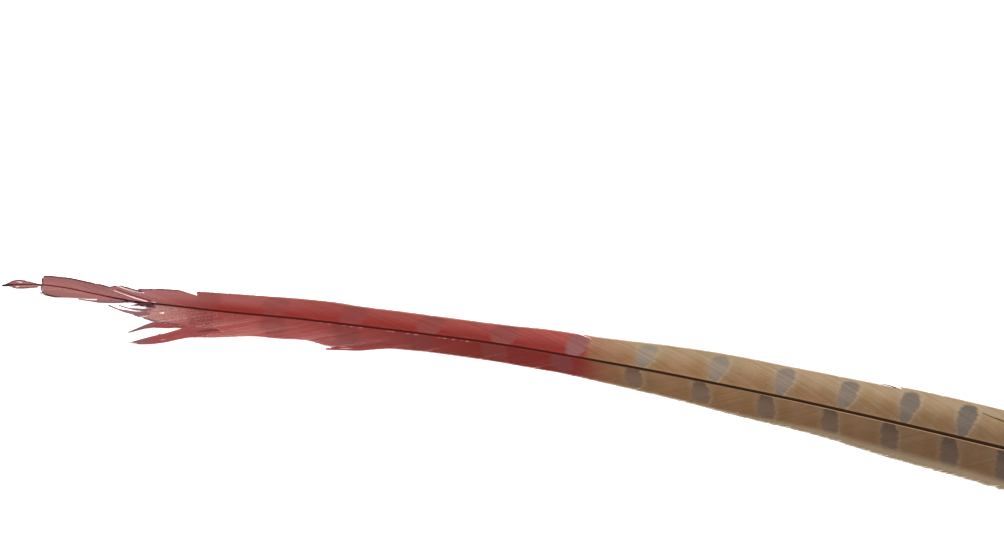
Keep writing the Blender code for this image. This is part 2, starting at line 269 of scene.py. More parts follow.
def build_piece(name, corners, faces, marks, uvs, material, sharp):
    """A piece from corners in millimetres, with its marks, UV map and material."""
    mesh = bpy.data.meshes.new(name)
    mesh.from_pydata((corners.reshape(-1, 3) * MM).tolist(), [], faces)
    for mark, values in marks.items():
        layer = mesh.attributes.new(mark, 'FLOAT', 'POINT')
        layer.data.foreach_set("value", values.astype(np.float32).ravel())
    uv = mesh.uv_layers.new(name="OFBake")
    uv.data.foreach_set("uv", uvs.astype(np.float32).ravel())
    mesh.materials.append(material)
    mesh.shade_smooth()
    mesh.set_sharp_from_angle(angle=math.radians(sharp))
    return add_object(name, mesh)


def build_strands(name, corners, marks, material, shelves=1, turned=False):
    """A piece of strands.  corners is (strand, station, corner, xyz), in millimetres.

    A mark has one value for each station, for each strand or for the whole piece.
    """
    count, stations = corners.shape[:2]
    quads, tris = strand_faces(count, stations, turned)
    marks = {mark: np.broadcast_to(np.asarray(values)[..., None], corners.shape[:3])
             for mark, values in marks.items()}
    uvs = strand_uvs(count, stations, shelves, turned)
    print(f"{name}: {count} strands, {len(quads) * 2 + len(tris)} triangles")
    return build_piece(name, corners, quads.tolist() + tris.tolist(), marks, uvs, material,
                       STRAND_SHARP)


# %% Strands along free paths
UP = np.array([0.0, 0.0, 1.0])


def steps(count):
    """Even steps along a strand, from 0 at its root to 1 at its end."""
    return np.linspace(0.0, 1.0, count)[None, :]


def courses(stations):
    """One rule for each column of a table of stations, at even steps."""
    place = np.linspace(0.0, 1.0, len(stations))
    return [profile(list(zip(place, column))) for column in zip(*stations)]


def prisms(paths, widths, heights):
    """Corners of three-sided strands along paths of (strand, station, xyz)."""
    ahead = np.gradient(paths, axis=1)
    aside = np.cross(ahead, UP)
    aside /= np.maximum(np.linalg.norm(aside, axis=-1, keepdims=True), 1e-9)
    half = aside * (widths / 2)[..., None]
    ridge = paths + UP * heights[..., None]
    return np.stack([paths - half, ridge, paths + half], axis=2)


# %% [markdown]
# ## Bars
#
# A cross bar sits about every two centimetres, and closer together towards the
# foot.  The stations below are the bars' middles on each vane.  Every strand
# carries a running number that is whole at the middle of each bar, so a material
# can draw all the bars by one rule.

# %% Number the bars
FAR_BARS = [60.7, 80.1, 103.0, 125.7, 146.7, 168.1, 187.7, 208.5, 227.4, 245.4, 262.8, 279.1]
NEAR_BARS = [59.6, 80.8, 102.1, 123.2, 145.1, 164.9, 185.6, 205.0, 224.0, 242.3, 259.3, 276.2]
TIP_BARS_APART = 22.0
FOOT_BARS_APART = 15.5
CLOSER_BY = 0.12              # mm that each further gap is narrower


def all_bars(seen):
    """The bars that are seen, and the rest out to the tip and down to the foot."""
    bars = [seen[0] - TIP_BARS_APART * k for k in (4, 3, 2, 1)] + seen
    gap = FOOT_BARS_APART
    while bars[-1] < LENGTH:
        bars.append(bars[-1] + gap)
        gap -= CLOSER_BY
    return np.array(bars)


def bar_number(side, s):
    """A running number, whole at the middle of each bar."""
    bars = all_bars(FAR_BARS if side == FAR else NEAR_BARS)
    return np.interp(s, bars, np.arange(len(bars)))


def bar_gap(side, s):
    """Millimetres from bar to bar."""
    bars = all_bars(FAR_BARS if side == FAR else NEAR_BARS)
    return np.interp(s, (bars[:-1] + bars[1:]) / 2, np.diff(bars))


print("bars on the far vane:", len(all_bars(FAR_BARS)))

# %% The marks of a strand
BARB_TRAIL = 2.5              # mm that a strand's root is taken to lie behind, per mm out


def marks_for(side, s, out, chance, **known):
    """The marks of strands at these feather places, with the known ones put in."""
    marks = {"along_mm": s, "root_mm": s + BARB_TRAIL * out,
             "share_out": out / np.maximum(edge(side, s), out), "out_mm": out,
             "bar_number": bar_number(side, s), "bar_gap_mm": bar_gap(side, s), "chance": chance}
    return {**marks, **known}


# %% [markdown]
# ## Nodes without wires everywhere
#
# A material of this feather mixes a dozen masks.  Wired by hand in the editor
# that is a web, so a small bench adds the nodes and joins them, and each line of
# code below reads as one step of paint.

# %% A bench for nodes
class Bench:
    """Adds nodes to one tree and joins them."""

    def __init__(self, tree):
        self.tree = tree

    def node(self, kind, **settings):
        node = self.tree.nodes.new(kind)
        for key, value in settings.items():
            setattr(node, key, value)
        return node

    def feed(self, socket, value):
        if isinstance(value, bpy.types.NodeSocket):
            self.tree.links.new(value, socket)
        elif isinstance(value, tuple) and len(value) == 3 and socket.type == 'RGBA':
            socket.default_value = (*value, 1.0)
        else:
            socket.default_value = value

    def math(self, operation, a, b=0.0, c=0.0):
        node = self.node('ShaderNodeMath', operation=operation)
        for socket, value in zip(node.inputs, (a, b, c)):
            self.feed(socket, value)
        return node.outputs[0]

    def plus(self, a, b):
        return self.math('ADD', a, b)

    def minus(self, a, b):
        return self.math('SUBTRACT', a, b)

    def times(self, a, b):
        return self.math('MULTIPLY', a, b)

    def over(self, a, b):
        return self.math('DIVIDE', a, b)

    def fade(self, value, low, high, start=0.0, end=1.0):
        """Runs smoothly from start to end while the value goes from low to high."""
        node = self.node('ShaderNodeMapRange', interpolation_type='SMOOTHSTEP')
        for socket, number in zip(node.inputs, (value, low, high, start, end)):
            self.feed(socket, number)
        return node.outputs[0]

    def between(self, value, low, full, fall, gone):
        """Rises from low to full, and falls again from fall to gone."""
        return self.times(self.fade(value, low, full), self.fade(value, gone, fall))

    def mix(self, share, a, b, blend='MIX'):
        node = self.node('ShaderNodeMix', data_type='RGBA', blend_type=blend)
        self.feed(node.inputs[0], share)
        self.feed(node.inputs[6], a)
        self.feed(node.inputs[7], b)
        return node.outputs[2]

    def point(self, x=0.0, y=0.0, z=0.0):
        node = self.node('ShaderNodeCombineXYZ')
        for socket, value in zip(node.inputs, (x, y, z)):
            self.feed(socket, value)
        return node.outputs[0]

    def tint(self, colour, tint):
        """One colour multiplied by another."""
        return self.mix(1.0, colour, tint, 'MULTIPLY')

    def grey(self, tone):
        return self.point(tone, tone, tone)

    def noise(self, place, scale, detail=2.0):
        node = self.node('ShaderNodeTexNoise')
        self.feed(node.inputs["Vector"], place)
        self.feed(node.inputs["Scale"], scale)
        self.feed(node.inputs["Detail"], detail)
        return node.outputs["Fac"]

    def cloud(self, a, b, per_a, per_b, scale, detail=2.0):
        """A noise over two marks, each multiplied by its own number first."""
        return self.noise(self.point(self.times(a, per_a), self.times(b, per_b)), scale, detail)

    def group(self, tree, **values):
        node = self.node('ShaderNodeGroup', node_tree=tree)
        for name, value in values.items():
            self.feed(node.inputs[name.replace("_", " ")], value)
        return node


SOCKETS = {'number': 'NodeSocketFloat', 'colour': 'NodeSocketColor'}


def numbers(*labels):
    """Sockets that all carry a number."""
    return dict.fromkeys(labels, 'number')


def new_group(name, inputs, outputs):
    """An empty node group: its bench, its input sockets and its output node."""
    tree = bpy.data.node_groups.new(name, 'ShaderNodeTree')
    for direction, sockets in (('INPUT', inputs), ('OUTPUT', outputs)):
        for label, kind in sockets.items():
            tree.interface.new_socket(label, in_out=direction, socket_type=SOCKETS[kind])
    entry, exit_ = tree.nodes.new('NodeGroupInput'), tree.nodes.new('NodeGroupOutput')
    return Bench(tree), entry.outputs, exit_.inputs


# %% The marks that every strand carries
MARKS = {"Along": "along_mm", "Root": "root_mm", "Share": "share_out", "Out": "out_mm",
         "Number": "bar_number", "Gap": "bar_gap_mm", "Chance": "chance"}


def make_strand_marks():
    """Where on the feather the shaded point is, read from the mesh."""
    bench, _, exit_ = new_group("strand_marks", {}, numbers(*MARKS))
    for label, attribute in MARKS.items():
        reader = bench.node('ShaderNodeAttribute', attribute_name=attribute)
        bench.feed(exit_[label], reader.outputs["Fac"])
    return bench.tree


strand_marks = make_strand_marks()
print("marks:", ", ".join(MARKS.values()))

# %% [markdown]
# ## The cross bars' rule
#
# On the real feather a bar is a grey-brown blot, narrow at the shaft, full in
# the middle of the vane and rounded off before the edge, and a pale rim runs
# round it that is strongest on the side of the quill.  Its outline is ragged,
# because each barb was coloured on its own while it grew.  The rule is an egg:
# one number that is 1 on the outline, less inside and more outside.

# %% Node group: cross bars
RAGGED = 0.7                  # mm by which single barbs miss the outline
WANDER = 1.5                  # mm by which the whole outline wanders
WANDER_CLOUD = (0.16, 2.0, 2.3)         # per mm along, per share out, scale
LEAN_ABOUT = 0.45             # share out where a leaning bar keeps its place
POWER_ALONG, POWER_OUT = 2.4, 2.8       # the higher, the squarer the egg
BAR_EDGE = (1.25, 0.8)        # the egg's numbers where a bar starts and is full
RIM_RING = (1.0, 1.35, 1.5, 2.4)        # and those between which its rim lies
QUILL_SIDE = (-0.5, 1.5, 0.35, 1.0)     # mm from the bar's middle, and the rim's strength there
BAR_INPUTS = ("Along", "Share", "Number", "Gap", "Chance", "Half Length", "Middle", "Reach", "Egg",
              "Drift")


def make_cross_bars():
    outputs = numbers("Bar", "Rim", "Offset")
    bench, given, exit_ = new_group("cross_bars", numbers(*BAR_INPUTS), outputs)
    turn = bench.math('FRACT', bench.plus(given["Number"], 0.5))
    offset = bench.times(bench.minus(turn, 0.5), given["Gap"])
    drift = bench.times(bench.minus(given["Share"], LEAN_ABOUT), given["Drift"])
    offset = bench.minus(offset, drift)

    single = bench.times(bench.minus(given["Chance"], 0.5), RAGGED)
    wander = bench.minus(bench.cloud(given["Along"], given["Share"], *WANDER_CLOUD), 0.5)
    ragged = bench.plus(offset, bench.math('MULTIPLY_ADD', wander, WANDER, single))

    height = bench.over(bench.minus(given["Share"], given["Middle"]), given["Reach"])
    widening = bench.math('MULTIPLY_ADD', height, given["Egg"], 1.0)
    half = bench.times(given["Half Length"], widening)
    length_part = bench.math('POWER', bench.math('ABSOLUTE', bench.over(ragged, half)), POWER_ALONG)
    height_part = bench.math('POWER', bench.math('ABSOLUTE', height), POWER_OUT)
    egg = bench.plus(length_part, height_part)

    bench.feed(exit_["Bar"], bench.fade(egg, *BAR_EDGE))
    quill_side = bench.fade(offset, *QUILL_SIDE)
    ring = bench.between(egg, *RIM_RING)
    bench.feed(exit_["Rim"], bench.times(ring, quill_side))
    bench.feed(exit_["Offset"], offset)
    return bench.tree


cross_bars = make_cross_bars()

# %% [markdown]
# ## Streaks and dye
#
# Close by, a vane is all fine streaks along the barbs: each barb took up a
# little more or less colour, and light runs along it.  The streaks stretch a
# noise along the barb.  The last third of the feather was dipped in red dye,
# which stops at a line across the far vane and fades out on the near one.

# %% Node group: streaks along the barbs
BROAD_STREAKS = (0.9, 0.10, 1.0, 3.0)   # per mm of root, per mm out, scale, detail
FINE_STREAKS = (6.0, 3.0, 1.0, 2.0)
BROAD_SHARE, SINGLE_SHARE = 1.5, 0.5    # of the clouds, and of each barb's own chance


def make_streaks():
    inputs = numbers("Root", "Out", "Chance", "Strength")
    bench, given, exit_ = new_group("barb_streaks", inputs, numbers("Tone", "Height"))
    broad = bench.minus(bench.cloud(given["Root"], given["Out"], *BROAD_STREAKS), 0.5)
    single = bench.times(bench.minus(given["Chance"], 0.5), SINGLE_SHARE)
    both = bench.math('MULTIPLY_ADD', broad, BROAD_SHARE, single)
    bench.feed(exit_["Tone"], bench.math('MULTIPLY_ADD', both, given["Strength"], 1.0))
    bench.feed(exit_["Height"], bench.cloud(given["Root"], given["Out"], *FINE_STREAKS))
    return bench.tree


barb_streaks = make_streaks()


# %% Node group: red dye
CREEP_CLOUD = (0.2, 3.0, 1.5)           # per mm along, per share out, scale
CREEP = 2.0                   # mm by which the dye's line creeps to and fro
STAIN = (17.0, -4.0)          # mm past the line where a stain begins and is full


def make_dye():
    inputs = numbers("Along", "Share", "Chance", "Line", "Softness")
    bench, given, exit_ = new_group("red_dye", inputs, numbers("Dye", "Stain"))
    creep = bench.minus(bench.cloud(given["Along"], given["Share"], *CREEP_CLOUD), 0.5)
    single = bench.minus(given["Chance"], 0.5)
    past = bench.minus(given["Along"], given["Line"])
    past = bench.plus(past, bench.math('MULTIPLY_ADD', creep, CREEP, single))
    softness = given["Softness"]
    bench.feed(exit_["Dye"], bench.fade(past, softness, bench.times(softness, -1.0)))
    bench.feed(exit_["Stain"], bench.fade(past, *STAIN))
    return bench.tree


red_dye = make_dye()

# %% [markdown]
# ## The colours of a vane
#
# Both vanes are painted the same way, in the order in which nature and the dyer
# did it, with painted light on top.  On the far vane the buff ground is deeper at
# the shaft and paler towards the edge, and on the near vane it darkens towards the
# edge.  This is partly the ground's own colour and partly painted light, because the
# far vane's outer part faces the lamp and the near one's turns away.  Golden and
# pinkish stretches lie between the bars.  Then come the bars and their rims, the
# red, which turns the bars mauve, and the bleached tip.  Last comes a pale band
# along the edge of the vane, which is a painted highlight on the far vane and a
# paler band on the near one, and turns into a dark outline towards the tip.

# %% Colours
def colour(red, green, blue, light=1.0):
    """A linear colour from one that was matched, as 0 to 255."""
    linear = [((c / 255 + 0.055) / 1.055) ** 2.4 if c > 10 else c / 255 / 12.92
              for c in (red, green, blue)]
    return tuple(c / light for c in linear)


FAR_LIGHT, NEAR_LIGHT = 1.12, 1.08      # how bright the light is on each vane

# %% Node group: stretches between the bars
STRETCH_CLOUD = (0.11, 0.16, 1.6, 3.0)  # per mm along, per mm out, scale, detail
# mm from a bar's middle between which the gold lies, on either side of the bar
GOLD_BEFORE, GOLD_BEHIND = (-9.0, -6.0, -4.5, -3.0), (3.2, 4.6, 5.5, 8.5)
# shares out between which the gold grows, and its strength there
GOLD_AT_EDGE, GOLD_AT_SHAFT = (0.95, 0.45, 0.1, 1.0), (0.05, 0.35, 0.55, 1.0)
BLUSH_FROM = (5.5, 8.5)       # mm from a bar's middle
GOLD_IN_CLOUD, BLUSH_IN_CLOUD = (0.3, 0.62), (0.7, 0.4)


def make_stretches():
    """Golden beside each bar, pinkish halfway between two, both broken by clouds."""
    inputs = numbers("Along", "Out", "Share", "Offset")
    bench, given, exit_ = new_group("stretches", inputs, numbers("Golden", "Blush"))
    cloud = bench.cloud(given["Along"], given["Out"], *STRETCH_CLOUD)
    before = bench.between(given["Offset"], *GOLD_BEFORE)
    behind = bench.between(given["Offset"], *GOLD_BEHIND)
    golden = bench.times(bench.plus(before, behind), bench.fade(cloud, *GOLD_IN_CLOUD))
    inner = bench.times(bench.fade(given["Share"], *GOLD_AT_EDGE),
                        bench.fade(given["Share"], *GOLD_AT_SHAFT))
    bench.feed(exit_["Golden"], bench.times(golden, inner))
    halfway = bench.times(bench.fade(bench.math('ABSOLUTE', given["Offset"]), *BLUSH_FROM),
                          bench.fade(cloud, *BLUSH_IN_CLOUD))
    bench.feed(exit_["Blush"], halfway)
    return bench.tree


stretches = make_stretches()

# %% Node group: specks at the roots
DASHES_PER_MM = 0.75
DASH_FROM = (0.53, 0.60)      # the noise between which a dash begins
SPECKED = (93.0, 95.0, 138.0, 141.0)    # mm from the tip between which there are specks
SPECKS_OUT = (0.8, 0.6, 0.0, 0.8)       # mm out where they end, and their strength there


def make_root_specks():
    """Short pale dashes close to the shaft."""
    inputs = numbers("Along", "Root", "Out")
    bench, given, exit_ = new_group("root_specks", inputs, numbers("Specks"))
    noise = bench.noise(bench.point(bench.times(given["Root"], DASHES_PER_MM)), 1.0, 1.0)
    dashes = bench.fade(noise, *DASH_FROM)
    stretch = bench.between(given["Along"], *SPECKED)
    close = bench.times(bench.fade(given["Out"], *SPECKS_OUT), stretch)
    bench.feed(exit_["Specks"], bench.times(dashes, close))
    return bench.tree


root_specks = make_root_specks()

# %% Node group: colours of a vane
TIP_OUTLINE = colour(84, 50, 56)
TIP_OUTLINE_WIDTH = 0.8       # mm
POINT_TONE = 0.8              # the little arrowhead at the very tip is darker
WIDER_IN_RED = 1.6            # times that a bar is wider where the feather was dipped
ROUNDER_IN_RED = 0.3          # share of its egg shape that is left there
FURTHER_IN_RED = 0.06         # share of the vane that it reaches further there
PATCHES, RIMS = 0.9, 0.5      # strength of gold and blush, and of a bar's rim
BAR_TONE_OUT = (0.05, 0.5, 0.72, 1.03)  # shares out, and the bar's tone there
DEEP_RED_TONE = 1.05          # the red at the shaft, towards the tip
RED_BAR_SHOWS = (0.35, 0.85)  # strength of the dyed bars at the tip and at the dye's end
# painted highlight: the pale band along a vane's edge, and its strength
EDGE_HIGHLIGHT = 0.9                # strength of the pale edge
RIM_SOFT = 0.35               # share of its width that is full
# partly painted light: outwards, the far vane's ground and red turn paler where it faces the lamp, and
# the near vane's ground turns darker
OUTWARD = (0.12, 0.85)        # shares out between which ground and red change
WORN_OUTWARD = (0.15, 0.8)    # and those between which the wear does
# Distances from the tip, in mm, between which something changes
INTO_DYED_BARS, ALONG_DYED_BARS = (184.0, 150.0), (60.0, 170.0)
FOOTWARD, DEEPENING, WORN_TO = (185.0, 290.0), (75.0, 145.0), 66.0
LAST_BAR, POINT = (152.0, 164.0), (11.0, 12.0)
EDGE_PALES, EDGE_DARKENS = (56.0, 110.0), (64.0, 44.0)
EDGE_WIDENS_FOOTWARD, OUTLINE_ENDS = (200.0, 270.0), (50.0, 70.0)
GOLDEN_TINT = (0.97, 0.85, 0.66)
BLUSH_TINT = (1.07, 0.98, 0.93)
VANE_COLOURS = ("Ground", "Outer Ground", "Bar Colour", "Rim Colour", "Red", "Outer Red", "Worn Red",
                "Red Bar", "Last Red Bar", "Bleached", "Edge Colour")
VANE_NUMBERS = ("Half Length", "Middle", "Reach", "Egg", "Drift", "Line", "Softness", "Wear From",
                "Wear Out", "Deep Tone", "Bleach From", "Bleach To", "Foot Tone", "Outer Foot Tone",
                "Bar Foot Tone", "Streaks", "Stain Share", "Edge Width", "Foot Edge Width",
                "Dyed Edge")


def make_vane_colours():
    inputs = {**numbers(*MARKS), **dict.fromkeys(VANE_COLOURS, 'colour'), **numbers(*VANE_NUMBERS)}
    outputs = {"Colour": 'colour', "Height": 'number'}
    bench, given, exit_ = new_group("vane_colours", inputs, outputs)
    along, share, out, chance = (given[label] for label in ("Along", "Share", "Out", "Chance"))
    shape = {key.replace(" ", "_"): given[key] for key in BAR_INPUTS}
    wider = bench.fade(along, *INTO_DYED_BARS, 1.0, WIDER_IN_RED)
    rounder = bench.fade(along, *INTO_DYED_BARS, 1.0, ROUNDER_IN_RED)
    shape["Half_Length"] = bench.times(given["Half Length"], wider)
    shape["Egg"] = bench.times(given["Egg"], rounder)
    further = bench.fade(along, *INTO_DYED_BARS, 0.0, FURTHER_IN_RED)
    shape["Reach"] = bench.plus(given["Reach"], further)
    bars = bench.group(cross_bars, **shape).outputs
    dye = bench.group(red_dye, Along=along, Share=share, Chance=chance,
                      Line=given["Line"], Softness=given["Softness"]).outputs
    streaks = bench.group(barb_streaks, Root=given["Root"], Out=out,
                          Chance=chance, Strength=given["Streaks"]).outputs
    patches = bench.group(stretches, Along=along, Out=out, Share=share,
                          Offset=bars["Offset"]).outputs

    # Ground to Outer Ground, partly painted light: paler outwards on the far vane, which faces the lamp
    # there, and darker outwards on the near one
    outward = bench.fade(share, *OUTWARD)
    natural = bench.mix(outward, given["Ground"], given["Outer Ground"])
    for label, tint in (("Golden", GOLDEN_TINT), ("Blush", BLUSH_TINT)):
        strength = bench.times(patches[label], PATCHES)
        natural = bench.mix(strength, natural, bench.tint(natural, tint))
    natural = bench.mix(bench.times(bars["Rim"], RIMS), natural, given["Rim Colour"])
    foot = bench.mix(outward, bench.grey(given["Foot Tone"]), bench.grey(given["Outer Foot Tone"]))
    natural = bench.mix(bench.fade(along, *FOOTWARD), natural, bench.tint(natural, foot))
    bar_tone = bench.fade(along, *FOOTWARD, 1.0, given["Bar Foot Tone"])
    bar_tone = bench.times(bar_tone, bench.fade(share, *BAR_TONE_OUT))
    bar_colour = bench.tint(given["Bar Colour"], bench.grey(bar_tone))
    natural = bench.mix(bars["Bar"], natural, bar_colour)

    inner = bench.fade(along, *DEEPENING, DEEP_RED_TONE, given["Deep Tone"])
    deep = bench.tint(given["Red"], bench.grey(inner))
    red = bench.mix(outward, deep, given["Outer Red"])
    red_bar = bench.times(bars["Bar"], bench.fade(along, *ALONG_DYED_BARS, *RED_BAR_SHOWS))
    worn = bench.times(bench.fade(along, given["Wear From"], WORN_TO),
                       bench.fade(share, *WORN_OUTWARD, given["Wear Out"], 1.0))
    red = bench.mix(worn, red, given["Worn Red"])
    last = bench.fade(along, *LAST_BAR)
    dyed = bench.mix(red_bar, red, bench.mix(last, given["Red Bar"], given["Last Red Bar"]))
    bleach = bench.fade(along, given["Bleach From"], given["Bleach To"])
    dyed = bench.mix(bleach, dyed, given["Bleached"])
    dyed = bench.tint(dyed, bench.grey(bench.fade(along, *POINT, POINT_TONE, 1.0)))
    stained = bench.mix(bench.times(dye["Stain"], given["Stain Share"]), natural, red)
    shade = bench.mix(dye["Dye"], stained, dyed)
    shade = bench.tint(shade, bench.grey(streaks["Tone"]))

    # painted highlight: a pale band along the vane's edge, pinkish where the far vane is dyed, turning
    # into a dark outline near the tip
    pale = bench.fade(along, *EDGE_PALES, 0.0, given["Dyed Edge"])
    dyed_edge = bench.mix(pale, shade, given["Edge Colour"])
    edge_tint = bench.mix(dye["Dye"], given["Edge Colour"], dyed_edge)
    edge_tint = bench.mix(bench.fade(along, *EDGE_DARKENS), edge_tint, TIP_OUTLINE)
    wide = bench.fade(along, *EDGE_WIDENS_FOOTWARD, given["Edge Width"], given["Foot Edge Width"])
    wide = bench.fade(along, *OUTLINE_ENDS, TIP_OUTLINE_WIDTH, wide)
    to_edge = bench.minus(bench.over(out, share), out)
    rim = bench.fade(to_edge, wide, bench.times(wide, RIM_SOFT), 0.0, EDGE_HIGHLIGHT)
    bench.feed(exit_["Colour"], bench.mix(rim, shade, edge_tint))
    bench.feed(exit_["Height"], streaks["Height"])
    return bench.tree


vane_colours = make_vane_colours()

# %% Paint a vane
BUMP_DEPTH = 0.00004          # metres
SPECK_COLOUR = (0.46, 0.27, 0.24)
UNDERSIDE = colour(214, 196, 172)
UNDERSIDE_SHOWS = (-0.2, -0.6, 0.0, 0.35)       # the normal's Z, and the underside's strength
VANE_ROUGHNESS = (0.55, 0.72)           # of the smoothest barb and of the roughest
VANE_GLOSS, VANE_BUMP = 0.15, 0.3


def start_material(name, roughness, gloss):
    """A material with a plain shader, and a bench for its tree."""
    material = bpy.data.materials.new(name)
    material.use_nodes = True
    shader = material.node_tree.nodes["Principled BSDF"]
    shader.inputs["Roughness"].default_value = roughness
    shader.inputs["Specular IOR Level"].default_value = gloss
    return material, Bench(material.node_tree), shader


def bump(bench, shader, height, strength):
    node = bench.node('ShaderNodeBump')
    node.inputs["Strength"].default_value = strength
    node.inputs["Distance"].default_value = BUMP_DEPTH
    bench.feed(node.inputs["Height"], height)
    bench.feed(shader.inputs["Normal"], node.outputs["Normal"])


def paint_vane(name, specks=False, **values):
    material, bench, shader = start_material(name, VANE_ROUGHNESS[0], VANE_GLOSS)
    marks = bench.group(strand_marks).outputs
    paint = bench.group(vane_colours, **{label: marks[label] for label in MARKS}, **values).outputs
    shade = paint["Colour"]
    if specks:
        dashes = bench.group(root_specks, Along=marks["Along"], Root=marks["Root"], Out=marks["Out"])
        shade = bench.mix(dashes.outputs["Specks"], shade, SPECK_COLOUR)
    facing = bench.node('ShaderNodeSeparateXYZ')
    bench.feed(facing.inputs[0], bench.node('ShaderNodeNewGeometry').outputs["True Normal"])
    under = bench.fade(facing.outputs["Z"], *UNDERSIDE_SHOWS)
    bench.feed(shader.inputs["Base Color"], bench.mix(under, shade, UNDERSIDE))
    bump(bench, shader, paint["Height"], VANE_BUMP)
    roughness = bench.fade(marks["Chance"], 0.0, 1.0, *VANE_ROUGHNESS)
    bench.feed(shader.inputs["Roughness"], roughness)
    return material


def lit(light, **shades):
    """Colours that were matched under so much light."""
    return {name: colour(*shade, light) for name, shade in shades.items()}


# The near vane's colours are darker than the far vane's: partly painted shade, besides the light that
# lit() divides out.
FAR_PAINT = dict(
    lit(FAR_LIGHT, Ground=(142, 112, 82), Outer_Ground=(168, 147, 120), Bar_Colour=(150, 135, 120),
        Rim_Colour=(178, 155, 127), Red=(148, 52, 45), Outer_Red=(170, 88, 82),
        Worn_Red=(176, 106, 102), Red_Bar=(144, 79, 75), Last_Red_Bar=(144, 98, 98),
        Bleached=(184, 131, 129), Edge_Colour=(236, 222, 210)),
    Half_Length=2.3, Middle=0.44, Reach=0.43, Egg=0.4, Drift=1.2, Line=171.0, Softness=1.0,
    Wear_From=100.0, Wear_Out=0.0, Deep_Tone=0.88, Bleach_From=64.0, Bleach_To=36.0,
    Foot_Tone=0.66, Outer_Foot_Tone=0.93, Bar_Foot_Tone=0.5, Streaks=0.07, Stain_Share=0.4,
    Edge_Width=0.9, Foot_Edge_Width=0.9, Dyed_Edge=0.4)
NEAR_PAINT = dict(
    lit(NEAR_LIGHT, Ground=(131, 103, 76), Outer_Ground=(121, 92, 63), Bar_Colour=(110, 88, 72),
        Rim_Colour=(144, 118, 90), Red=(119, 39, 32), Outer_Red=(120, 41, 35),
        Worn_Red=(178, 92, 87), Red_Bar=(122, 56, 52), Last_Red_Bar=(112, 56, 54),
        Bleached=(182, 130, 124), Edge_Colour=(142, 123, 100)),
    Half_Length=2.4, Middle=0.42, Reach=0.42, Egg=0.15, Drift=1.8, Line=174.5, Softness=7.0,
    Wear_From=150.0, Wear_Out=0.6, Deep_Tone=1.0, Bleach_From=62.0, Bleach_To=44.0,
    Foot_Tone=0.62, Outer_Foot_Tone=0.71, Bar_Foot_Tone=0.6, Streaks=0.1, Stain_Share=0.2,
    Edge_Width=0.8, Foot_Edge_Width=3.4, Dyed_Edge=0.0)
# The torn barbs take the near vane's paint with darker worn and bleached colours: partly painted shade.
TORN_PAINT = {**NEAR_PAINT, "Worn_Red": colour(140, 68, 67), "Red_Bar": colour(128, 62, 62),
              "Bleached": colour(122, 84, 90), "Bleach_From": 49.0, "Bleach_To": 42.0, "Streaks": 0.3}

far_barbs = paint_vane("far_vane_barbs", **FAR_PAINT)
near_barbs = paint_vane("near_vane_barbs", specks=True, **NEAR_PAINT)
torn_paint = paint_vane("torn_barbs", **TORN_PAINT)
print("materials:", [m.name for m in bpy.data.materials if m.name.endswith("barbs")])

# %% [markdown]
# ## Laying the vanes
#
# Neighbouring barbs share a border, so a whole vane has no gaps.  It opens only
# where a real one does: at the seams between locks, which part near the edge, at
# smaller tufts inside each lock, and at the tears.  A seam opens because each
# border moves towards the middle of its own lock.

# %% Groups, locks, tufts and barbs
barb_pitch = profile([(0, 0.40), (60, 0.38), (300, 0.42), (440, 0.52), (489, 0.62)])
lock_pitch = profile([(0, 8.0), (12, 10.0), (100, 15.0), (300, 16.0), (430, 11.0), (489, 8.0)])
tuft_pitch = profile([(0, 2.5), (100, 3.5), (300, 3.0), (489, 1.6)])
lock_holds = profile([(0, 0.9), (330, 0.9), (380, 0.7), (440, 0.5), (489, 0.35)])
lock_opens = profile([(0, 0.2), (120, 0.2), (310, 0.3), (400, 2.0), (440, 3.2), (489, 2.6)])
tuft_holds = profile([(0, 0.95), (300, 0.93), (400, 0.8), (489, 0.5)])
tuft_opens = profile([(0, 0.1), (170, 0.1), (300, 0.2), (400, 0.9), (489, 1.4)])
LAST_BARB = 452.0             # nearer the foot the barbs are down

# (first root, last root, distance from the tip of its broken front)
FAR_GROUPS = [(1.0, 10.8, 0.0), (12.0, 43.2, 11.3), (43.5, 54.2, 0.0), (54.2, 72.0, 40.1),
              (72.0, LAST_BARB, 57.6)]
NEAR_GROUPS = [(1.0, 10.8, 0.0), (12.0, 35.2, 11.1), (35.2, 38.0, 28.1),
               (46.0, 50.9, 42.9), (50.9, 53.6, 41.3), (53.6, LAST_BARB, 0.0)]

# Slits where neighbouring barbs have come unhooked: the root of the slit, how far
# out it starts and ends, and how wide it gapes, measured along the shaft.
FAR_SLITS = [(51.0, 2.8, 5.6, 0.8), (189.2, 7.6, 10.8, 1.0), (285.3, 12.6, 16.5, 1.4)]
NEAR_SLITS = [(58.0, 4.3, 6.0, 1.0)]
SLIT_SPREAD = 1.3             # mm along the shaft over which neighbours give way
UNEVEN_BARBS, UNEVEN_TUFTS = 0.25, 0.6          # share by which their widths stray


def seams_between(first, last, pitch, uneven=0.0, dice=None):
    """Places from first to last, about a pitch apart."""
    seams = [first]
    while seams[-1] < last:
        stray = 1.0 + uneven * (2.0 * dice.random() - 1.0) if dice else 1.0
        seams.append(seams[-1] + float(pitch(seams[-1])) * stray)
    seams = np.array(seams)
    return first + (seams - first) * (last - first) / (seams[-1] - first)


def bundles(seams, roots):
    """Middle and half length of the bundle that each root is in, and its number."""
    number = np.clip(np.searchsorted(seams, roots) - 1, 0, len(seams) - 2)
    low, high = seams[number], seams[number + 1]
    return (low + high) / 2, (high - low) / 2, number


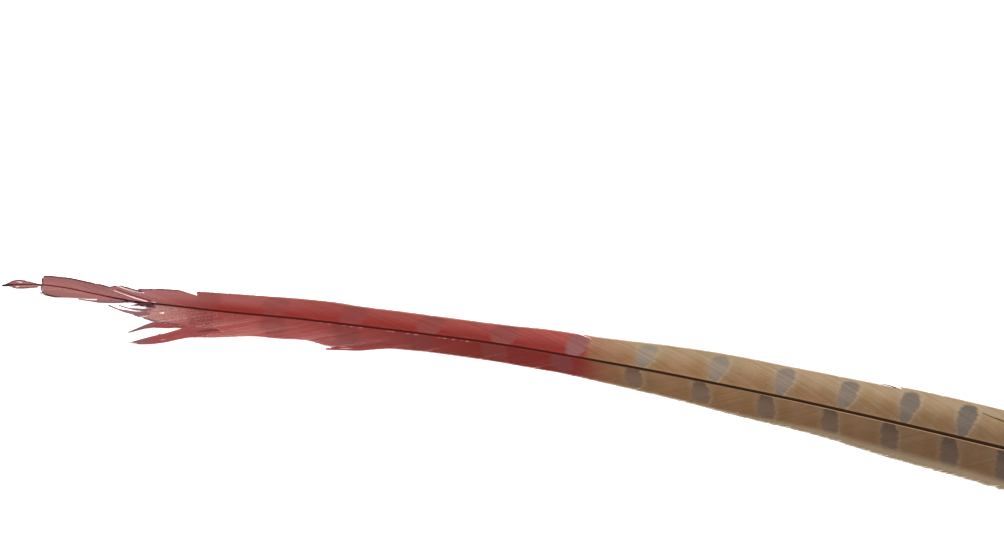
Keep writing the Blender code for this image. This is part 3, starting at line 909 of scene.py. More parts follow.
def plan_vane(groups, dice):
    """One row per barb: its borders, its front and the bundles that it belongs to."""
    rows = []
    for first, last, front in groups:
        borders = seams_between(first, last, barb_pitch, UNEVEN_BARBS, dice)
        middles = (borders[:-1] + borders[1:]) / 2
        lock_mid, lock_half, lock_number = bundles(seams_between(first, last, lock_pitch), middles)
        tufts = seams_between(first, last, tuft_pitch, UNEVEN_TUFTS, dice)
        tuft_mid, tuft_half, _ = bundles(tufts, middles)
        lock_lift = dice.uniform(-1.0, 1.0, lock_number.max() + 1)[lock_number]
        same = np.ones(len(middles))
        rows.append(np.stack([borders[:-1], borders[1:], front * same, lock_mid, lock_half,
                              tuft_mid, tuft_half, lock_lift], axis=1))
    return np.concatenate(rows).T


# %% Lay one vane
STATIONS = 15
RIDGE = 0.045                 # mm that a barb's ridge stands up
VALLEY = 0.035                # mm that its borders lie low
TUCK = 0.09                   # mm that it reaches under its neighbour towards the tip
TUCK_DEPTH = 0.05             # how much lower it lies there
SHEET_LIFT = 0.12             # the barbs lie this much above the vane's middle surface
CREASE = 0.12                 # depth of the crease between two locks
LOCK_CROWN = 0.10             # how much a lock bulges
lock_relief = profile([(0, 0.6), (60, 0.35), (320, 0.35), (400, 1.0), (489, 1.0)])
ragged_end = profile([(0, 0.012), (300, 0.02), (400, 0.08), (440, 0.16), (489, 0.35)])
looseness = profile([(0, 0.0), (370, 0.0), (430, 0.3), (460, 0.8), (489, 1.0)])
ROOT_START = {FAR: 0.5, NEAR: 0.95}     # where barbs leave the shaft, as a share of its half width
CLIMB = {FAR: 0.42, NEAR: 0.1}          # how high they do, as a share of its half depth
barb_tip = profile([(0, 0.05), (300, 0.05), (400, 0.12), (489, 0.2)])     # share that narrows
# width of its point, as a share of the barb's
point_width = profile([(0, 0.95), (110, 0.9), (150, 0.75), (300, 0.75), (400, 0.3), (489, 0.15)])
LATEST_START = 0.6            # share of its reach within which a barb starts
WAVE, WAVE_TURNS = (0.3, 1.5), (0.4, 1.3)       # mm and turns of a loose barb's wave
LOOSE_RISE = (-0.2, 2.5)      # mm that the end of a loose barb sinks or rises
LOOSE_NARROWS = 0.6           # share of its width that a loose barb loses
BROKEN_WITHIN = 1.5           # mm from a broken front: a barb that ends there is broken
BROKEN_WIDTH = 0.5            # share of its width that a broken barb keeps
LEAST_WIDTH = 0.2             # mm across the vane
LOCK_STEP, BARB_STEP = 0.05, 0.02       # mm that a lock or a barb lies higher than another
CLIMB_LENGTH = 0.55           # share of the shaft's width over which barbs climb to it
LOWEST = 0.05                 # mm above the surface


def opening(t, holds):
    """0 where a seam holds, 1 at the vane's edge."""
    return np.clip((t - holds) / (1.0 - holds), 0.0, 1.0)


def give_way(slits, root, place, out):
    """How far the slits push a border aside, towards the tip or away from it."""
    push = np.zeros(np.broadcast(place, out).shape)
    for slit, start, end, width in slits:
        lens = np.sin(math.pi * np.clip((out - start) / (end - start), 0.0, 1.0))
        push += np.sign(root - slit) * width / 2 * lens * np.exp(-np.abs(place - slit) / SLIT_SPREAD)
    return push


def lay_vane(name, side, groups, slits, material, seed):
    dice = np.random.default_rng(seed)
    (left, right, front, lock_mid, lock_half, tuft_mid, tuft_half,
     lock_lift) = [column[:, None] for column in plan_vane(groups, dice)]
    count = len(left)
    root = (left + right) / 2
    t = steps(STATIONS)
    chance = dice.random((count, 1))
    start = shaft_width(root) / 2 * ROOT_START[side]
    reach = barb_reach(side, root[:, 0], front[:, 0])[:, None]
    reach = reach * (1.0 - ragged_end(root) * dice.random((count, 1)))
    start = np.minimum(start, reach * LATEST_START)
    out = start + (reach - start) * t
    loose = looseness(root)
    wave = loose * t * dice.uniform(*WAVE, (count, 1)) * np.sin(
        2 * math.pi * (t * dice.uniform(*WAVE_TURNS, (count, 1)) + dice.random((count, 1))))
    broken = (front > 0) & (barb_place(side, root, reach) < front + BROKEN_WITHIN)
    tip = np.clip((1.0 - t) / barb_tip(root), 0.0, 1.0)
    end_width = np.where(broken, BROKEN_WIDTH, point_width(root))
    narrow = end_width + (1.0 - end_width) * tip
    narrow = narrow * (1.0 - LOOSE_NARROWS * loose * np.sqrt(t))

    def border(place):
        """Distance from the tip along one border of every barb."""
        near_root = root + (place - root) * narrow
        lock_shift = (place - lock_mid) / lock_half * lock_opens(root) / 2
        tuft_shift = (place - tuft_mid) / tuft_half * tuft_opens(root) / 2
        shift = -lock_shift * opening(t, lock_holds(root)) - tuft_shift * opening(t, tuft_holds(root))
        return barb_place(side, near_root, out) + shift + give_way(slits, root, place, out) + wave

    along = barb_place(side, root, out)
    share = np.clip(out / np.maximum(edge(side, along), LEAST_WIDTH), 0.0, 1.0)
    in_lock = np.abs(root - lock_mid) / lock_half
    relief = LOCK_CROWN * (1 - in_lock ** 2) - CREASE * in_lock ** 6 + LOCK_STEP * lock_lift
    lift = SHEET_LIFT + share * (lock_relief(root) * relief + BARB_STEP * (chance - 0.5))
    lift = lift + loose * t ** 2 * dice.uniform(*LOOSE_RISE, (count, 1))
    foot = np.clip(1.0 - (out - start) / (shaft_width(root) * CLIMB_LENGTH), 0.0, 1.0)
    lift = lift + CLIMB[side] * shaft_depth(root) / 2 * foot ** 1.5
    s_left, s_right = border(left), border(right)
    corners = np.stack([vane_point(side, s_left - TUCK * narrow, out, lift - VALLEY - TUCK_DEPTH),
                        vane_point(side, (s_left + s_right) / 2, out, lift + RIDGE * narrow),
                        vane_point(side, s_right, out, lift - VALLEY)], axis=2)
    corners[..., 2] = np.maximum(corners[..., 2], LOWEST)
    marks = marks_for(side, along, out, chance, root_mm=root, share_out=share)
    piece = build_strands(name, corners, marks, material, shelves=6, turned=side == NEAR)
    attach(piece, "root")
    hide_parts("tail_feather")


lay_vane("far_vane", FAR, FAR_GROUPS, FAR_SLITS, far_barbs, seed=3)
lay_vane("near_vane", NEAR, NEAR_GROUPS, NEAR_SLITS, near_barbs, seed=4)

# %% [markdown]
# ## Sprung locks
#
# Two locks of the near vane have torn loose behind the tip and stand out from its
# edge like prongs.  Each is a bundle of barbs that still cling to each other and
# run together in a point.  The bundle lies along the solid's prong, and its barbs
# lie side by side across it.

# %% Lay the sprung locks
# (distance from the tip, distance out, half width), from the root to the point
SPRUNG_LOCKS = {
    "sprung_lock_upper": [(60.0, 6.15, 0.2), (53.5, 6.5, 0.35), (50.4, 6.8, 0.65), (47.3, 6.75, 0.85),
                          (44.4, 7.75, 0.6), (42.1, 9.1, 0.35), (39.8, 10.6, 0.14)],
    "sprung_lock_lower": [(66.0, 6.25, 0.3), (62.0, 6.95, 0.9), (58.5, 7.7, 1.6), (57.0, 7.95, 1.65),
                          (54.0, 9.25, 1.5), (51.0, 10.65, 1.4), (48.2, 11.6, 1.3),
                          (45.0, 12.6, 0.95), (42.5, 13.3, 0.55), (38.8, 14.0, 0.16)],
}
SPRUNG_LIFT = 0.34            # its root lies this much above the vane
SPRUNG_SLANT = 0.3            # a row across it leans back this much
SPRUNG_BARBS = 7
SPRUNG_STATIONS = 22
SPRUNG_OVERLAP = 1.35
UNEVEN_POINTS = 0.14          # how much shorter some of its barbs are
SPRUNG_STEP = 0.05            # mm that its barbs lie higher or lower
SPRUNG_SINKS = 0.8            # share of its lift that is gone at the point
SPRUNG_POINT = (0.06, 0.6)    # share of its length that is pointed, and the width left there
SPRUNG_ROOT = (0.2, 0.12)     # share of its length that is rooted, and the depth in mm
SPRUNG_WIDER = 0.12           # mm that each of its barbs is wider than its share
SPRUNG_SHARE = 0.55           # its colours are those of the vane so far out
SPRUNG_HEIGHT = (0.3, 0.03)   # height of its barbs: share of their width, and mm


def lay_sprung_lock(name, stations, seed):
    dice = np.random.default_rng(seed)
    s_rule, out_rule, half_rule = courses(stations)
    across = np.linspace(-1.0, 1.0, SPRUNG_BARBS)[:, None] * (1 - 1 / SPRUNG_BARBS)
    length = 1.0 - UNEVEN_POINTS * dice.random((SPRUNG_BARBS, 1))
    length[SPRUNG_BARBS // 2] = 1.0
    t = steps(SPRUNG_STATIONS) * length
    half = half_rule(t)
    s = s_rule(t) + half * across * SPRUNG_SLANT
    out = out_rule(t) + half * across
    step = SPRUNG_STEP * dice.uniform(-1.0, 1.0, (SPRUNG_BARBS, 1))
    rise = SPRUNG_LIFT * (1.0 - SPRUNG_SINKS * t) + step
    pointed, point_left = SPRUNG_POINT
    rooted_share, root_depth = SPRUNG_ROOT
    rooted = np.clip(t / rooted_share, 0.0, 1.0)
    rise = rise * rooted - root_depth * (1.0 - rooted)
    width = 2 * half / SPRUNG_BARBS * SPRUNG_OVERLAP + SPRUNG_WIDER
    width = width * np.clip((length - t) / pointed, point_left, 1.0)
    height = SPRUNG_HEIGHT[0] * width + SPRUNG_HEIGHT[1]
    chance = dice.random((SPRUNG_BARBS, 1))
    marks = marks_for(NEAR, s, out, chance, share_out=SPRUNG_SHARE)
    paths = vane_point(NEAR, s, out, rise)
    piece = build_strands(name, prisms(paths, width, height), marks, torn_paint)
    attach(piece, "root")
    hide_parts("tail_feather")


for order, (lock_name, lock_stations) in enumerate(SPRUNG_LOCKS.items()):
    lay_sprung_lock(lock_name, lock_stations, seed=20 + order)

# %% [markdown]
# ## Loose barbs, painted highlights and painted shadows
#
# What makes a worn tip look real is a handful of single barbs: a hair ahead of the
# torn front, spikes in the gap, small curls left at the shaft.  Pale strands are
# painted highlights, laid as light lines along slits, at the tip and on torn edges.
# Dark strands are painted shadow: along torn fronts, slits and creases, and the
# small curls at the shaft, which lie in shade.  They are few, so each is placed
# one by one.

# %% Single barbs, by kind
LOOSE_STATIONS = 24
# side, width, and places as (distance from the tip, distance out, height above the vane)
TORN_BARBS = [
    (NEAR, 1.05, [(44.0, 3.2, 0.1), (40.0, 3.6, 0.1), (36.5, 3.45, 0.2), (32.6, 2.75, 0.3)]),
    (NEAR, 0.50, [(45.0, 3.4, 0.1), (42.0, 4.0, 0.1), (39.5, 3.95, 0.1), (36.5, 3.5, 0.2)]),
    (NEAR, 0.80, [(45.0, 2.1, 0.2), (42.0, 2.5, 0.2), (39.2, 2.55, 0.2), (35.6, 2.2, 0.3)]),
    (NEAR, 0.50, [(13.6, 2.5, 0.1), (12.2, 2.75, 0.1), (11.1, 2.9, 0.2), (9.6, 3.05, 0.3)]),
    (NEAR, 0.80, [(36.6, 0.7, 0.1), (31.4, 1.8, 0.1), (27.6, 2.35, 0.1), (23.4, 2.8, 0.1)]),
    (NEAR, 0.80, [(35.6, 1.0, 0.1), (30.8, 2.0, 0.1), (27.6, 2.45, 0.1), (24.4, 2.75, 0.1)]),
    (NEAR, 1.30, [(116.0, 4.8, 0.1), (110.0, 6.0, 0.1), (105.0, 7.3, 0.1), (97.0, 8.3, 0.1)]),
    (NEAR, 1.00, [(114.0, 4.7, 0.1), (108.0, 5.7, 0.1), (103.0, 6.85, 0.1), (98.5, 7.7, 0.1)]),
    (NEAR, 0.22, [(52.0, 9.0, 0.2), (49.5, 9.6, 0.1), (47.0, 9.7, 0.1), (45.3, 9.6, 0.1)]),
]
# painted shadow: dark strands along torn fronts, slits and creases, and the small curls in shade at the
# shaft
SHADOW_BARBS = [
    (NEAR, 0.60, [(45.6, 0.5, 0.2), (43.5, 0.75, 0.3), (41.5, 1.15, 0.3), (39.8, 1.5, 0.3)]),
    (NEAR, 0.60, [(44.6, 0.3, 0.2), (42.4, 0.5, 0.2), (40.6, 1.0, 0.3), (38.8, 1.65, 0.2)]),
    (NEAR, 0.50, [(46.0, 1.1, 0.2), (44.6, 1.25, 0.2), (43.2, 1.3, 0.3), (41.6, 1.35, 0.2)]),
    (NEAR, 0.60, [(39.6, 0.2, 0.2), (38.2, 0.5, 0.3), (37.2, 0.8, 0.3), (36.2, 0.9, 0.3)]),
    (NEAR, 0.32, [(11.6, 0.3, 0.3), (11.4, 1.2, 0.3), (11.8, 2.2, 0.3), (12.8, 3.3, 0.3)]),
    (FAR, 0.36, [(11.5, 0.3, 0.4), (11.25, 1.2, 0.4), (11.1, 2.2, 0.4), (11.7, 3.4, 0.4)]),
    (FAR, 0.32, [(44.4, 0.7, 0.3), (41.0, 1.45, 0.3), (37.4, 2.2, 0.3), (33.2, 3.1, 0.3)]),
    (FAR, 0.40, [(41.0, 3.8, 0.3), (38.2, 4.1, 0.3), (35.4, 4.45, 0.3), (33.2, 4.95, 0.3)]),
    (FAR, 0.36, [(258.2, 12.9, 0.3), (256.6, 13.1, 0.3), (254.8, 13.2, 0.3), (252.8, 13.2, 0.3)]),
    (FAR, 0.32, [(291.0, 9.05, 0.3), (288.6, 9.55, 0.3), (286.0, 10.05, 0.3), (283.0, 10.65, 0.3)]),
    (NEAR, 0.40, [(65.5, 6.2, 0.4), (62.6, 6.7, 0.4), (59.5, 7.9, 0.4), (56.8, 9.0, 0.4)]),
]
# painted highlight: pale strands where light glints along slits, at the tip and on torn edges
HIGHLIGHT_BARBS = [
    (FAR, 0.38, [(43.4, 0.35, 0.25), (40.2, 0.98, 0.25), (36.8, 1.6, 0.25), (32.4, 2.42, 0.25)]),
    (FAR, 0.18, [(40.6, 3.2, 0.3), (38.0, 3.6, 0.3), (35.5, 3.95, 0.3), (33.6, 4.4, 0.3)]),
    (FAR, 0.18, [(45.8, 0.3, 0.3), (45.4, 0.33, 0.3), (44.9, 0.38, 0.3), (44.4, 0.42, 0.3)]),
    (FAR, 0.26, [(41.6, 3.4, 0.2), (41.3, 3.45, 0.2), (41.0, 3.5, 0.2), (40.7, 3.55, 0.2)]),
    (FAR, 0.28, [(5.6, 0.55, 0.2), (5.0, 0.7, 0.2), (4.5, 0.85, 0.2), (4.0, 0.95, 0.2)]),
    (NEAR, 0.30, [(4.9, 0.75, 0.2), (4.5, 0.85, 0.2), (4.1, 0.95, 0.2), (3.8, 1.0, 0.2)]),
    (NEAR, 0.50, [(48.9, 2.75, 0.2), (48.5, 2.8, 0.2), (48.1, 2.85, 0.2), (47.6, 2.9, 0.2)]),
    (NEAR, 0.26, [(48.2, 7.7, 0.1), (46.4, 8.0, 0.1), (44.2, 8.5, 0.1), (42.2, 9.4, 0.1)]),
    (NEAR, 0.26, [(54.8, 9.8, 0.3), (53.4, 10.5, 0.3), (51.8, 11.1, 0.3), (49.8, 11.6, 0.3)]),
    (FAR, 0.12, [(171.4, 7.6, 0.2), (170.8, 8.0, 0.3), (170.3, 8.4, 0.3), (169.9, 8.9, 0.3)]),
]


# %% Lay single barbs
SINGLE_TAPER = 0.5            # their outer half narrows to half their width
SINGLE_SHARE_OUT = 0.6        # their colours are those of the vane so far out
SINGLE_HEIGHT = 0.4           # share of their width
UNDYED = (150.0, 175.0)       # mm from the tip between which the dye ends


def lay_single_barbs(name, barbs, material, seed):
    dice = np.random.default_rng(seed)
    t = steps(LOOSE_STATIONS)
    places = [[rule(t[0]) for rule in courses(barb[2])] for barb in barbs]
    paths = [vane_point(barb[0], *place) for barb, place in zip(barbs, places)]
    s, out, _ = np.array(places).transpose(1, 0, 2)
    taper = np.clip((1.0 - t) / SINGLE_TAPER, SINGLE_TAPER, 1.0)
    width = np.array([barb[1] for barb in barbs])[:, None] * taper
    chance = dice.random((len(barbs), 1))
    marks = marks_for(NEAR, s, out, chance, share_out=SINGLE_SHARE_OUT)
    corners = prisms(np.array(paths), width, SINGLE_HEIGHT * width)
    piece = build_strands(name, corners, marks, material)
    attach(piece, "root")
    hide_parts("tail_feather")


def paint_single_barbs(name, gloss, dyed, other_dyed, plain):
    """Two shades where the feather is dyed, and one where it isn't."""
    material, bench, shader = start_material(name, roughness=0.5, gloss=gloss)
    marks = bench.group(strand_marks).outputs
    shade = bench.mix(marks["Chance"], colour(*dyed), colour(*other_dyed))
    shade = bench.mix(bench.fade(marks["Along"], *UNDYED), shade, colour(*plain))
    bench.feed(shader.inputs["Base Color"], shade)
    return material


# painted highlight: pale, glossy strands
painted_highlight = paint_single_barbs("painted_highlight", gloss=0.3, dyed=(240, 196, 190),
                                other_dyed=(236, 214, 206), plain=(226, 208, 188))
# painted shadow: dark strands
painted_shadow = paint_single_barbs("painted_shadow", gloss=0.05, dyed=(66, 40, 46),
                               other_dyed=(96, 46, 58), plain=(64, 40, 22))
lay_single_barbs("torn_barbs", TORN_BARBS, torn_paint, seed=31)
lay_single_barbs("shadow_barbs", SHADOW_BARBS, painted_shadow, seed=34)
lay_single_barbs("highlight_barbs", HIGHLIGHT_BARBS, painted_highlight, seed=32)

# %% [markdown]
# ## Down at the foot
#
# Towards the quill the barbs no longer hook together.  They are soft and fluffy,
# because their barbules are long, thin and free.  A picture of fluff on a card
# would be cheap, but flat from the side, so each downy barb is a thin strand with
# a row of barbules on either side of it, all bent a little towards its tip.

# %% Grow the down
DOWN_FROM, DOWN_TO = 440.0, 488.0
DOWN_APART, DOWN_STRAY = 1.15, 0.4      # mm between two roots, and mm that each strays
DOWN_STATIONS = 16
DOWN_START = 0.8              # share of the shaft's half width
DOWN_REACH, REACH_AHEAD = (0.82, 1.0), 4.0      # share of the vane's width so many mm ahead
DOWN_SWAY = 3.2               # mm that a downy barb may stray along the shaft
RIPPLE, RIPPLE_TURNS = 0.5, (0.8, 1.8)  # mm and turns of its ripple
DOWN_LOFT = profile([(440, 0.5), (460, 2.2), (480, 3.2), (489, 2.6)])
LOFTED = (-0.1, 1.0)          # share of that loft that each barb has
DOWN_LIFT, DOWN_TILT = 0.15, 0.4        # mm that it lies above the vane, and that its end may tilt
DOWN_WIDTH, BARBULE_WIDTH = 0.22, 0.085
DOWN_HEIGHT = 0.5             # share of their width
DOWN_NARROWS, BARBULE_NARROWS = 0.8, 0.7        # share of their width that is gone at the end
FIRST_BARBULE, BARBULES_APART, BARBULE_STRAY = 0.8, 0.42, 0.01     # mm, mm, share of the barb
BARBULE_STATIONS = 4
barbule_length = profile([(0.0, 0.7), (0.35, 2.4), (0.8, 2.6), (1.0, 1.3)])
BARBULE_SIZES, BARBULE_RISE = (0.7, 1.15), (-0.35, 0.75)
BARBULE_OUT, BARBULE_BEND = 0.92, 0.35  # shares of its length that it goes out and forward
LOWEST_DOWN, LOWEST_BARBULE = 0.25, 0.15


def grow_down_barbs(side, dice):
    """Paths of the downy barbs, and how far each point lies from tip and shaft."""
    roots = np.arange(DOWN_FROM, DOWN_TO, DOWN_APART)
    root = roots[:, None] + dice.uniform(-DOWN_STRAY, DOWN_STRAY, (len(roots), 1))
    t = steps(DOWN_STATIONS)
    start = shaft_width(root) / 2 * DOWN_START
    reach = edge(side, root - REACH_AHEAD) * dice.uniform(*DOWN_REACH, root.shape)
    out = start + (reach - start) * t
    sway = DOWN_SWAY * dice.uniform(-1.0, 1.0, root.shape) * t ** 2
    turns = t * dice.uniform(*RIPPLE_TURNS, root.shape) + dice.random(root.shape)
    ripple = RIPPLE * t * np.sin(2 * math.pi * turns)
    s = barb_place(side, root, out) + sway + ripple
    loft = DOWN_LOFT(root) * dice.uniform(*LOFTED, root.shape) * np.sin(math.pi * t ** 0.8)
    tilt = DOWN_TILT * dice.uniform(-1.0, 1.0, root.shape) * t
    paths = vane_point(side, s, out, DOWN_LIFT + loft + tilt)
    paths[..., 2] = np.maximum(paths[..., 2], LOWEST_DOWN)
    return paths, s, out, dice.random(root.shape)


def grow_barbules(paths, dice):
    """Two rows of barbules on each downy barb: their paths, and the barb of each."""
    lengths = np.linalg.norm(np.diff(paths, axis=1), axis=-1).sum(axis=1)
    owner, share, hand = [], [], []
    for number, length in enumerate(lengths):
        places = np.arange(FIRST_BARBULE, length, BARBULES_APART) / length
        for way in (-1.0, 1.0):
            owner.append(np.full(len(places), number))
            stray = dice.uniform(-BARBULE_STRAY, BARBULE_STRAY, len(places))
            share.append(np.clip(places + stray, 0.0, 1.0))
            hand.append(np.full(len(places), way))
    owner, share, hand = (np.concatenate(rows) for rows in (owner, share, hand))
    spot = share * (paths.shape[1] - 1)
    low = np.minimum(spot.astype(int), paths.shape[1] - 2)
    mix = (spot - low)[:, None]
    base = paths[owner, low] * (1 - mix) + paths[owner, low + 1] * mix
    ahead = paths[owner, low + 1] - paths[owner, low]
    ahead /= np.linalg.norm(ahead, axis=-1, keepdims=True)
    aside = np.cross(ahead, UP) * hand[:, None]
    size = (barbule_length(share) * dice.uniform(*BARBULE_SIZES, len(share)))[:, None, None]
    u = steps(BARBULE_STATIONS)[..., None]
    up = UP * dice.uniform(*BARBULE_RISE, (len(share), 1))
    forward = BARBULE_BEND * u + BARBULE_BEND * u ** 2
    along_it = aside[:, None, :] * (BARBULE_OUT * u) + ahead[:, None, :] * forward
    rows = base[:, None, :] + (along_it + up[:, None, :] * u ** 1.5) * size
    rows[..., 2] = np.maximum(rows[..., 2], LOWEST_BARBULE)
    return rows, owner


DOWN_TONES = (0.86, 1.1)      # of the darkest barb and of the palest


def paint_down():
    material, bench, shader = start_material("grey_buff_down", roughness=0.75, gloss=0.1)
    marks = bench.group(strand_marks).outputs
    shade = bench.mix(marks["Share"], colour(176, 156, 134), colour(206, 192, 174))
    tone = bench.fade(marks["Chance"], 0.0, 1.0, *DOWN_TONES)
    bench.feed(shader.inputs["Base Color"], bench.tint(shade, bench.grey(tone)))
    return material


grey_down = paint_down()


def lay_down(name, side, seed):
    dice = np.random.default_rng(seed)
    paths, s, out, chance = grow_down_barbs(side, dice)
    t = steps(DOWN_STATIONS)
    width = DOWN_WIDTH * (1.0 - DOWN_NARROWS * t)
    barbs = build_strands(name + "_barbs", prisms(paths, width, DOWN_HEIGHT * width),
                          marks_for(side, s, out, chance), grey_down)
    rows, owner = grow_barbules(paths, dice)
    u = steps(BARBULE_STATIONS)
    thin = BARBULE_WIDTH * (1.0 - BARBULE_NARROWS * u)
    middle_s, middle_out = (places.mean(axis=1)[owner][:, None] for places in (s, out))
    marks = marks_for(side, middle_s, middle_out, dice.random((len(rows), 1)))
    fluff = build_strands(name + "_barbules", prisms(rows, thin, DOWN_HEIGHT * thin), marks,
                          grey_down, shelves=30)
    for piece in (barbs, fluff):
        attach(piece, "root")
        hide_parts("tail_feather")


lay_down("far_down", FAR, seed=41)
lay_down("near_down", NEAR, seed=42)

# %% [markdown]
# ## The shaft
#
# The shaft is horn: a hair at the tip and a round quill at the foot, flat on top
# and grooved below.  Seen from above it is one thin dark line, because only the
# middle of its back is dark.  Its flanks are pale.  The dark back stops short of
# the near flank only, which shows as a fine light line: partly the horn's own pale
# colour, partly painted highlight.  A loft along the shaft's own rules gives all
# of this.

# %% Loft the shaft
RINGS = 300
RING_POINTS = 28
SHAFT_SINK = 0.25             # share of its depth that the shaft's middle lies low
BELLY_GROOVE, GROOVE_WIDTH = 0.16, 0.3  # shares of its depth and of its half width
FLATNESS = 0.75               # power of its round: 1 is round, less is squarer
QUILL_FROM, QUILL_ROUND = 440.0, 490.0
END_RINGS = [0.7, 2.0, 511.0, 513.5, 515.5, 517.0, 518.3, 519.2]
PIT_DEPTH = 2.0
PIT_SHARE = 0.55
SHAFT_SHELVES, SHAFT_FILL = 4, 0.9      # shelves on its UV map, and the share in use
END_RADIUS = 0.01             # on the UV map, of its two round ends
END_MIDDLES = (0.2, 0.987), (0.3, 0.987)
SHAFT_SHARP = 60              # degrees from which an edge is sharp


def shaft_rings():
    """Ring corners (ring, point, xyz), and each corner's place round the ring."""
    s = np.sort(np.concatenate([np.linspace(0.0, LENGTH, RINGS), END_RINGS]))[:, None]
    angle = (2 * math.pi * np.arange(RING_POINTS) / RING_POINTS + math.pi / 2)[None, :]
    quill = np.clip((s - QUILL_FROM) / (QUILL_ROUND - QUILL_FROM), 0.0, 1.0)
    power = FLATNESS + (1.0 - FLATNESS) * quill
    y = np.sign(np.cos(angle)) * np.abs(np.cos(angle)) ** power
    z = np.sign(np.sin(angle)) * np.abs(np.sin(angle)) ** power
    groove = np.exp(-(y / GROOVE_WIDTH) ** 2) * (z < 0)
    z = z + 2 * BELLY_GROOVE * (1.0 - quill) * groove
    centre, across = shaft_line(s[:, 0])
    ring = centre[:, None, :] + across[:, None, :] * (y * shaft_width(s) / 2)[..., None]
    ring[..., 2] += (z - 2 * SHAFT_SINK) * shaft_depth(s) / 2
    return s[:, 0], ring, y, z


def shaft_faces(rings):
    """Quads between the rings, and a round face on either end."""
    k = np.arange(RING_POINTS)
    first = (np.arange(rings - 1) * RING_POINTS)[:, None]
    a, b = first + k, first + (k + 1) % RING_POINTS
    quads = np.stack([a, b, b + RING_POINTS, a + RING_POINTS], axis=-1).reshape(-1, 4)[:, ::-1]
    return quads.tolist() + [k.tolist(), (k[::-1] + (rings - 1) * RING_POINTS).tolist()]


def shaft_uvs(rings):
    """UV places, in the order of the face corners: the tube on shelves, its ends above."""
    k = np.arange(RING_POINTS)
    row = np.arange(rings - 1)
    shelf = row * SHAFT_SHELVES // (rings - 1)
    longest = np.bincount(shelf).max() + 1
    v = shelf[:, None] / SHAFT_SHELVES + k / RING_POINTS * SHAFT_FILL / SHAFT_SHELVES
    u = np.broadcast_to((row - np.searchsorted(shelf, shelf))[:, None] / longest, v.shape)
    up, on = SHAFT_FILL / SHAFT_SHELVES / RING_POINTS, 1.0 / longest
    places = np.stack([np.stack([u, v], -1), np.stack([u, v + up], -1),
                       np.stack([u + on, v + up], -1), np.stack([u + on, v], -1)], axis=2)
    places = places.reshape(-1, 4, 2)[:, ::-1].reshape(-1, 2)
    turn = 2 * math.pi * k / RING_POINTS
    end = np.stack([np.cos(turn), np.sin(turn)], axis=-1) * END_RADIUS
    return np.concatenate([places, end + END_MIDDLES[0], end[::-1] + END_MIDDLES[1]])


def build_shaft(material):
    """The shaft, with a pit in the end of its quill."""
    s, ring, y, z = shaft_rings()
    middle = ring[-1].mean(axis=0)
    mouth = middle + (ring[-1] - middle) * PIT_SHARE
    ring = np.concatenate([ring, [mouth, mouth - [PIT_DEPTH, 0, 0]]])
    s = np.append(s, [LENGTH] * 2)[:, None] * np.ones(RING_POINTS)
    marks = {"along_mm": s, "round_y": np.vstack([y, y[-2:]]), "round_z": np.vstack([z, z[-2:]])}
    faces = shaft_faces(len(ring))
    print("shaft:", len(faces), "faces")
    piece = build_piece("shaft", ring, faces, marks, shaft_uvs(len(ring)), material, SHAFT_SHARP)
    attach(piece, "root")
    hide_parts("tail_feather")


# %% Paint the shaft
SHAFT_ROUGHNESS, SHAFT_GLOSS, SHAFT_BUMP = (0.36, 0.5), 0.03, 0.4
GRAIN_ALONG, GRAIN_ROUND, GRAIN_SCALE, GRAIN_DETAIL = 0.08, 6.0, 1.5, 4.0
GRAIN_FROM = (0.3, 0.7)       # the noise between which the grain runs
GRAIN_TONES = (0.85, 1.12)
# the dark back covers the far flank but stops short of the near one, which shows as a light line:
# partly painted highlight
STRIPE_SIDE, STRIPE_TOP = (-0.86, -0.68), (0.0, 0.2)    # where the dark back begins
BELLY = (0.1, -0.5)           # from where on its round it turns pale below
# Distances from the tip, in mm, between which a colour changes
DYED_SHAFT, GREY_TIP, PALE_FLANK = (176.0, 166.0), (40.0, 4.0), (190.0, 240.0)
PALE_QUILL, QUILL_BEGINS, STRIPE_ENDS = (470.0, 500.0), (445.0, 485.0), (490.0, 440.0)
# (from, to, strength, colour) of what is painted over the tip, one after another
TIP_COATS = [(62.0, 50.0, 0.9, (52, 12, 14)), (34.0, 29.0, 1.0, (96, 30, 28)),
             (4.0, 1.5, 1.0, (40, 18, 20))]


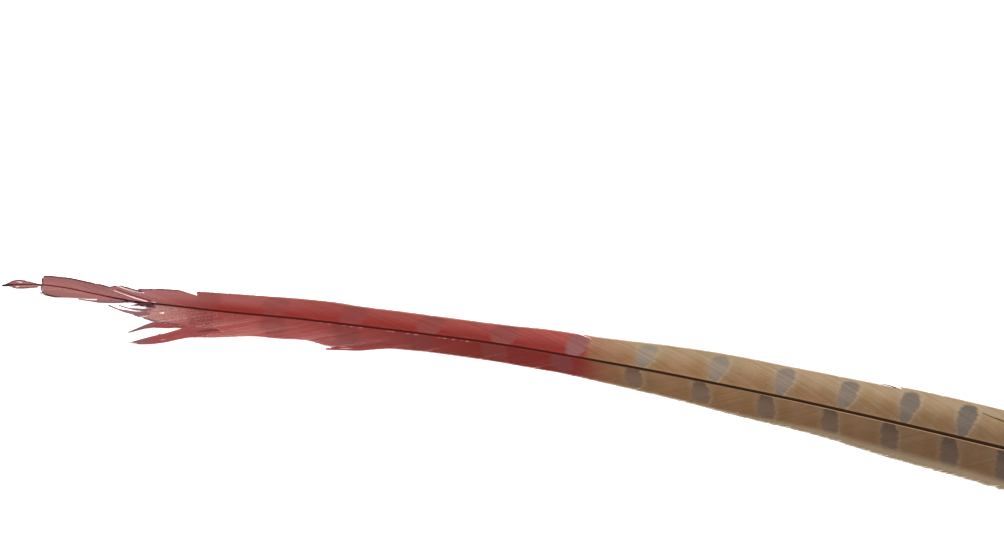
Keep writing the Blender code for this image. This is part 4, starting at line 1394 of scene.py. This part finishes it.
def paint_shaft():
    material, bench, shader = start_material("shaft_horn", SHAFT_ROUGHNESS[0], SHAFT_GLOSS)
    along, side, height = (bench.node('ShaderNodeAttribute', attribute_name=mark).outputs["Fac"]
                           for mark in ("along_mm", "round_y", "round_z"))
    dye = bench.fade(along, *DYED_SHAFT)
    place = bench.point(bench.times(along, GRAIN_ALONG), bench.times(side, GRAIN_ROUND),
                        bench.times(height, GRAIN_ROUND))
    grain = bench.noise(place, GRAIN_SCALE, GRAIN_DETAIL)
    back = bench.mix(dye, colour(36, 19, 5), colour(58, 10, 8))
    back = bench.mix(bench.fade(along, *GREY_TIP), back, colour(58, 26, 24))
    flank = bench.mix(bench.fade(along, *PALE_FLANK), colour(136, 98, 70), colour(188, 150, 118))
    flank = bench.mix(dye, flank, colour(150, 72, 66))
    belly = bench.mix(dye, colour(196, 176, 146), colour(176, 96, 86))
    quill = bench.mix(bench.fade(along, *PALE_QUILL), colour(150, 116, 78), colour(206, 186, 152))
    stripe = bench.times(bench.fade(side, *STRIPE_SIDE), bench.fade(height, *STRIPE_TOP))
    horn = bench.mix(bench.fade(height, *BELLY), flank, belly)
    horn = bench.mix(bench.fade(along, *QUILL_BEGINS), horn, quill)
    stripe = bench.times(stripe, bench.fade(along, *STRIPE_ENDS))
    horn = bench.mix(stripe, horn, back)
    for start, end, strength, coat in TIP_COATS:
        horn = bench.mix(bench.fade(along, start, end, 0.0, strength), horn, colour(*coat))
    tone = bench.fade(grain, *GRAIN_FROM, *GRAIN_TONES)
    bench.feed(shader.inputs["Base Color"], bench.tint(horn, bench.grey(tone)))
    bench.feed(shader.inputs["Roughness"], bench.fade(grain, *GRAIN_FROM, *SHAFT_ROUGHNESS))
    bump(bench, shader, grain, SHAFT_BUMP)
    return material


build_shaft(paint_shaft())

# %% [markdown]
# ## Floor, light and camera
#
# The feather lies on white opal glass that glows a little, as on a photographer's
# light table, which takes the shadows away.  Soft light comes from all round, with
# one large lamp behind it, so that the far vane is brighter than the near one.  The
# camera looks down at it from the near side, with a long lens, and the foot of
# the feather runs out of the picture.

# %% Floor and light
FLOOR_HALF = 2.5              # metres
FLOOR_DROP = 0.0001           # it lies this much lower than the feather's lowest point
WHITE = (1.0, 1.0, 1.0, 1.0)
GLASS_COLOUR, GLASS_GLOW = (0.95, 0.95, 0.95, 1.0), 0.7
GLASS_ROUGHNESS, GLASS_GLOSS = 0.9, 0.1
SKY_STRENGTH = 1.35
LAMP_SIZE, LAMP_WATTS = 0.9, 11.0
LAMP_PLACE = (-0.35, 1.05, 1.05)
LAMP_TURN = (math.radians(-45.0), 0.0, math.radians(18.0))

floor_mesh = bpy.data.meshes.new("floor")
floor_corners = [(x * FLOOR_HALF, y * FLOOR_HALF, 0) for x, y in ((-1, -1), (1, -1), (1, 1), (-1, 1))]
floor_mesh.from_pydata(floor_corners, [], [(0, 1, 2, 3)])
floor = add_object("floor", floor_mesh)
floor.location.z = -FLOOR_DROP
glass, _, glass_shader = start_material("opal_glass", GLASS_ROUGHNESS, GLASS_GLOSS)
glass_shader.inputs["Base Color"].default_value = GLASS_COLOUR
glass_shader.inputs["Emission Color"].default_value = WHITE
glass_shader.inputs["Emission Strength"].default_value = GLASS_GLOW
floor_mesh.materials.append(glass)

world = bpy.data.worlds.new("soft_studio")
world.use_nodes = True
world.node_tree.nodes["Background"].inputs["Color"].default_value = WHITE
world.node_tree.nodes["Background"].inputs["Strength"].default_value = SKY_STRENGTH
bpy.context.scene.world = world

lamp_data = bpy.data.lights.new("lamp_behind", 'AREA')
lamp_data.shape = 'SQUARE'
lamp_data.size = LAMP_SIZE
lamp_data.energy = LAMP_WATTS
lamp = add_object("lamp_behind", lamp_data)
lamp.location = LAMP_PLACE
lamp.rotation_euler = LAMP_TURN

# %% Camera
CAMERA_PLACE = (-0.02715, -0.33785, 0.58268)
TILT_FROM_DOWN = math.radians(33.0)
TURN = math.radians(14.1)
LENS, SENSOR = 85.0, 36.0     # mm

camera_data = bpy.data.cameras.new("camera")
camera_data.lens = LENS
camera_data.sensor_width = SENSOR
camera = add_object("camera", camera_data)
camera.location = CAMERA_PLACE
camera.rotation_euler = (TILT_FROM_DOWN, 0.0, TURN)
bpy.context.scene.camera = camera
bpy.context.scene.view_settings.view_transform = 'Standard'
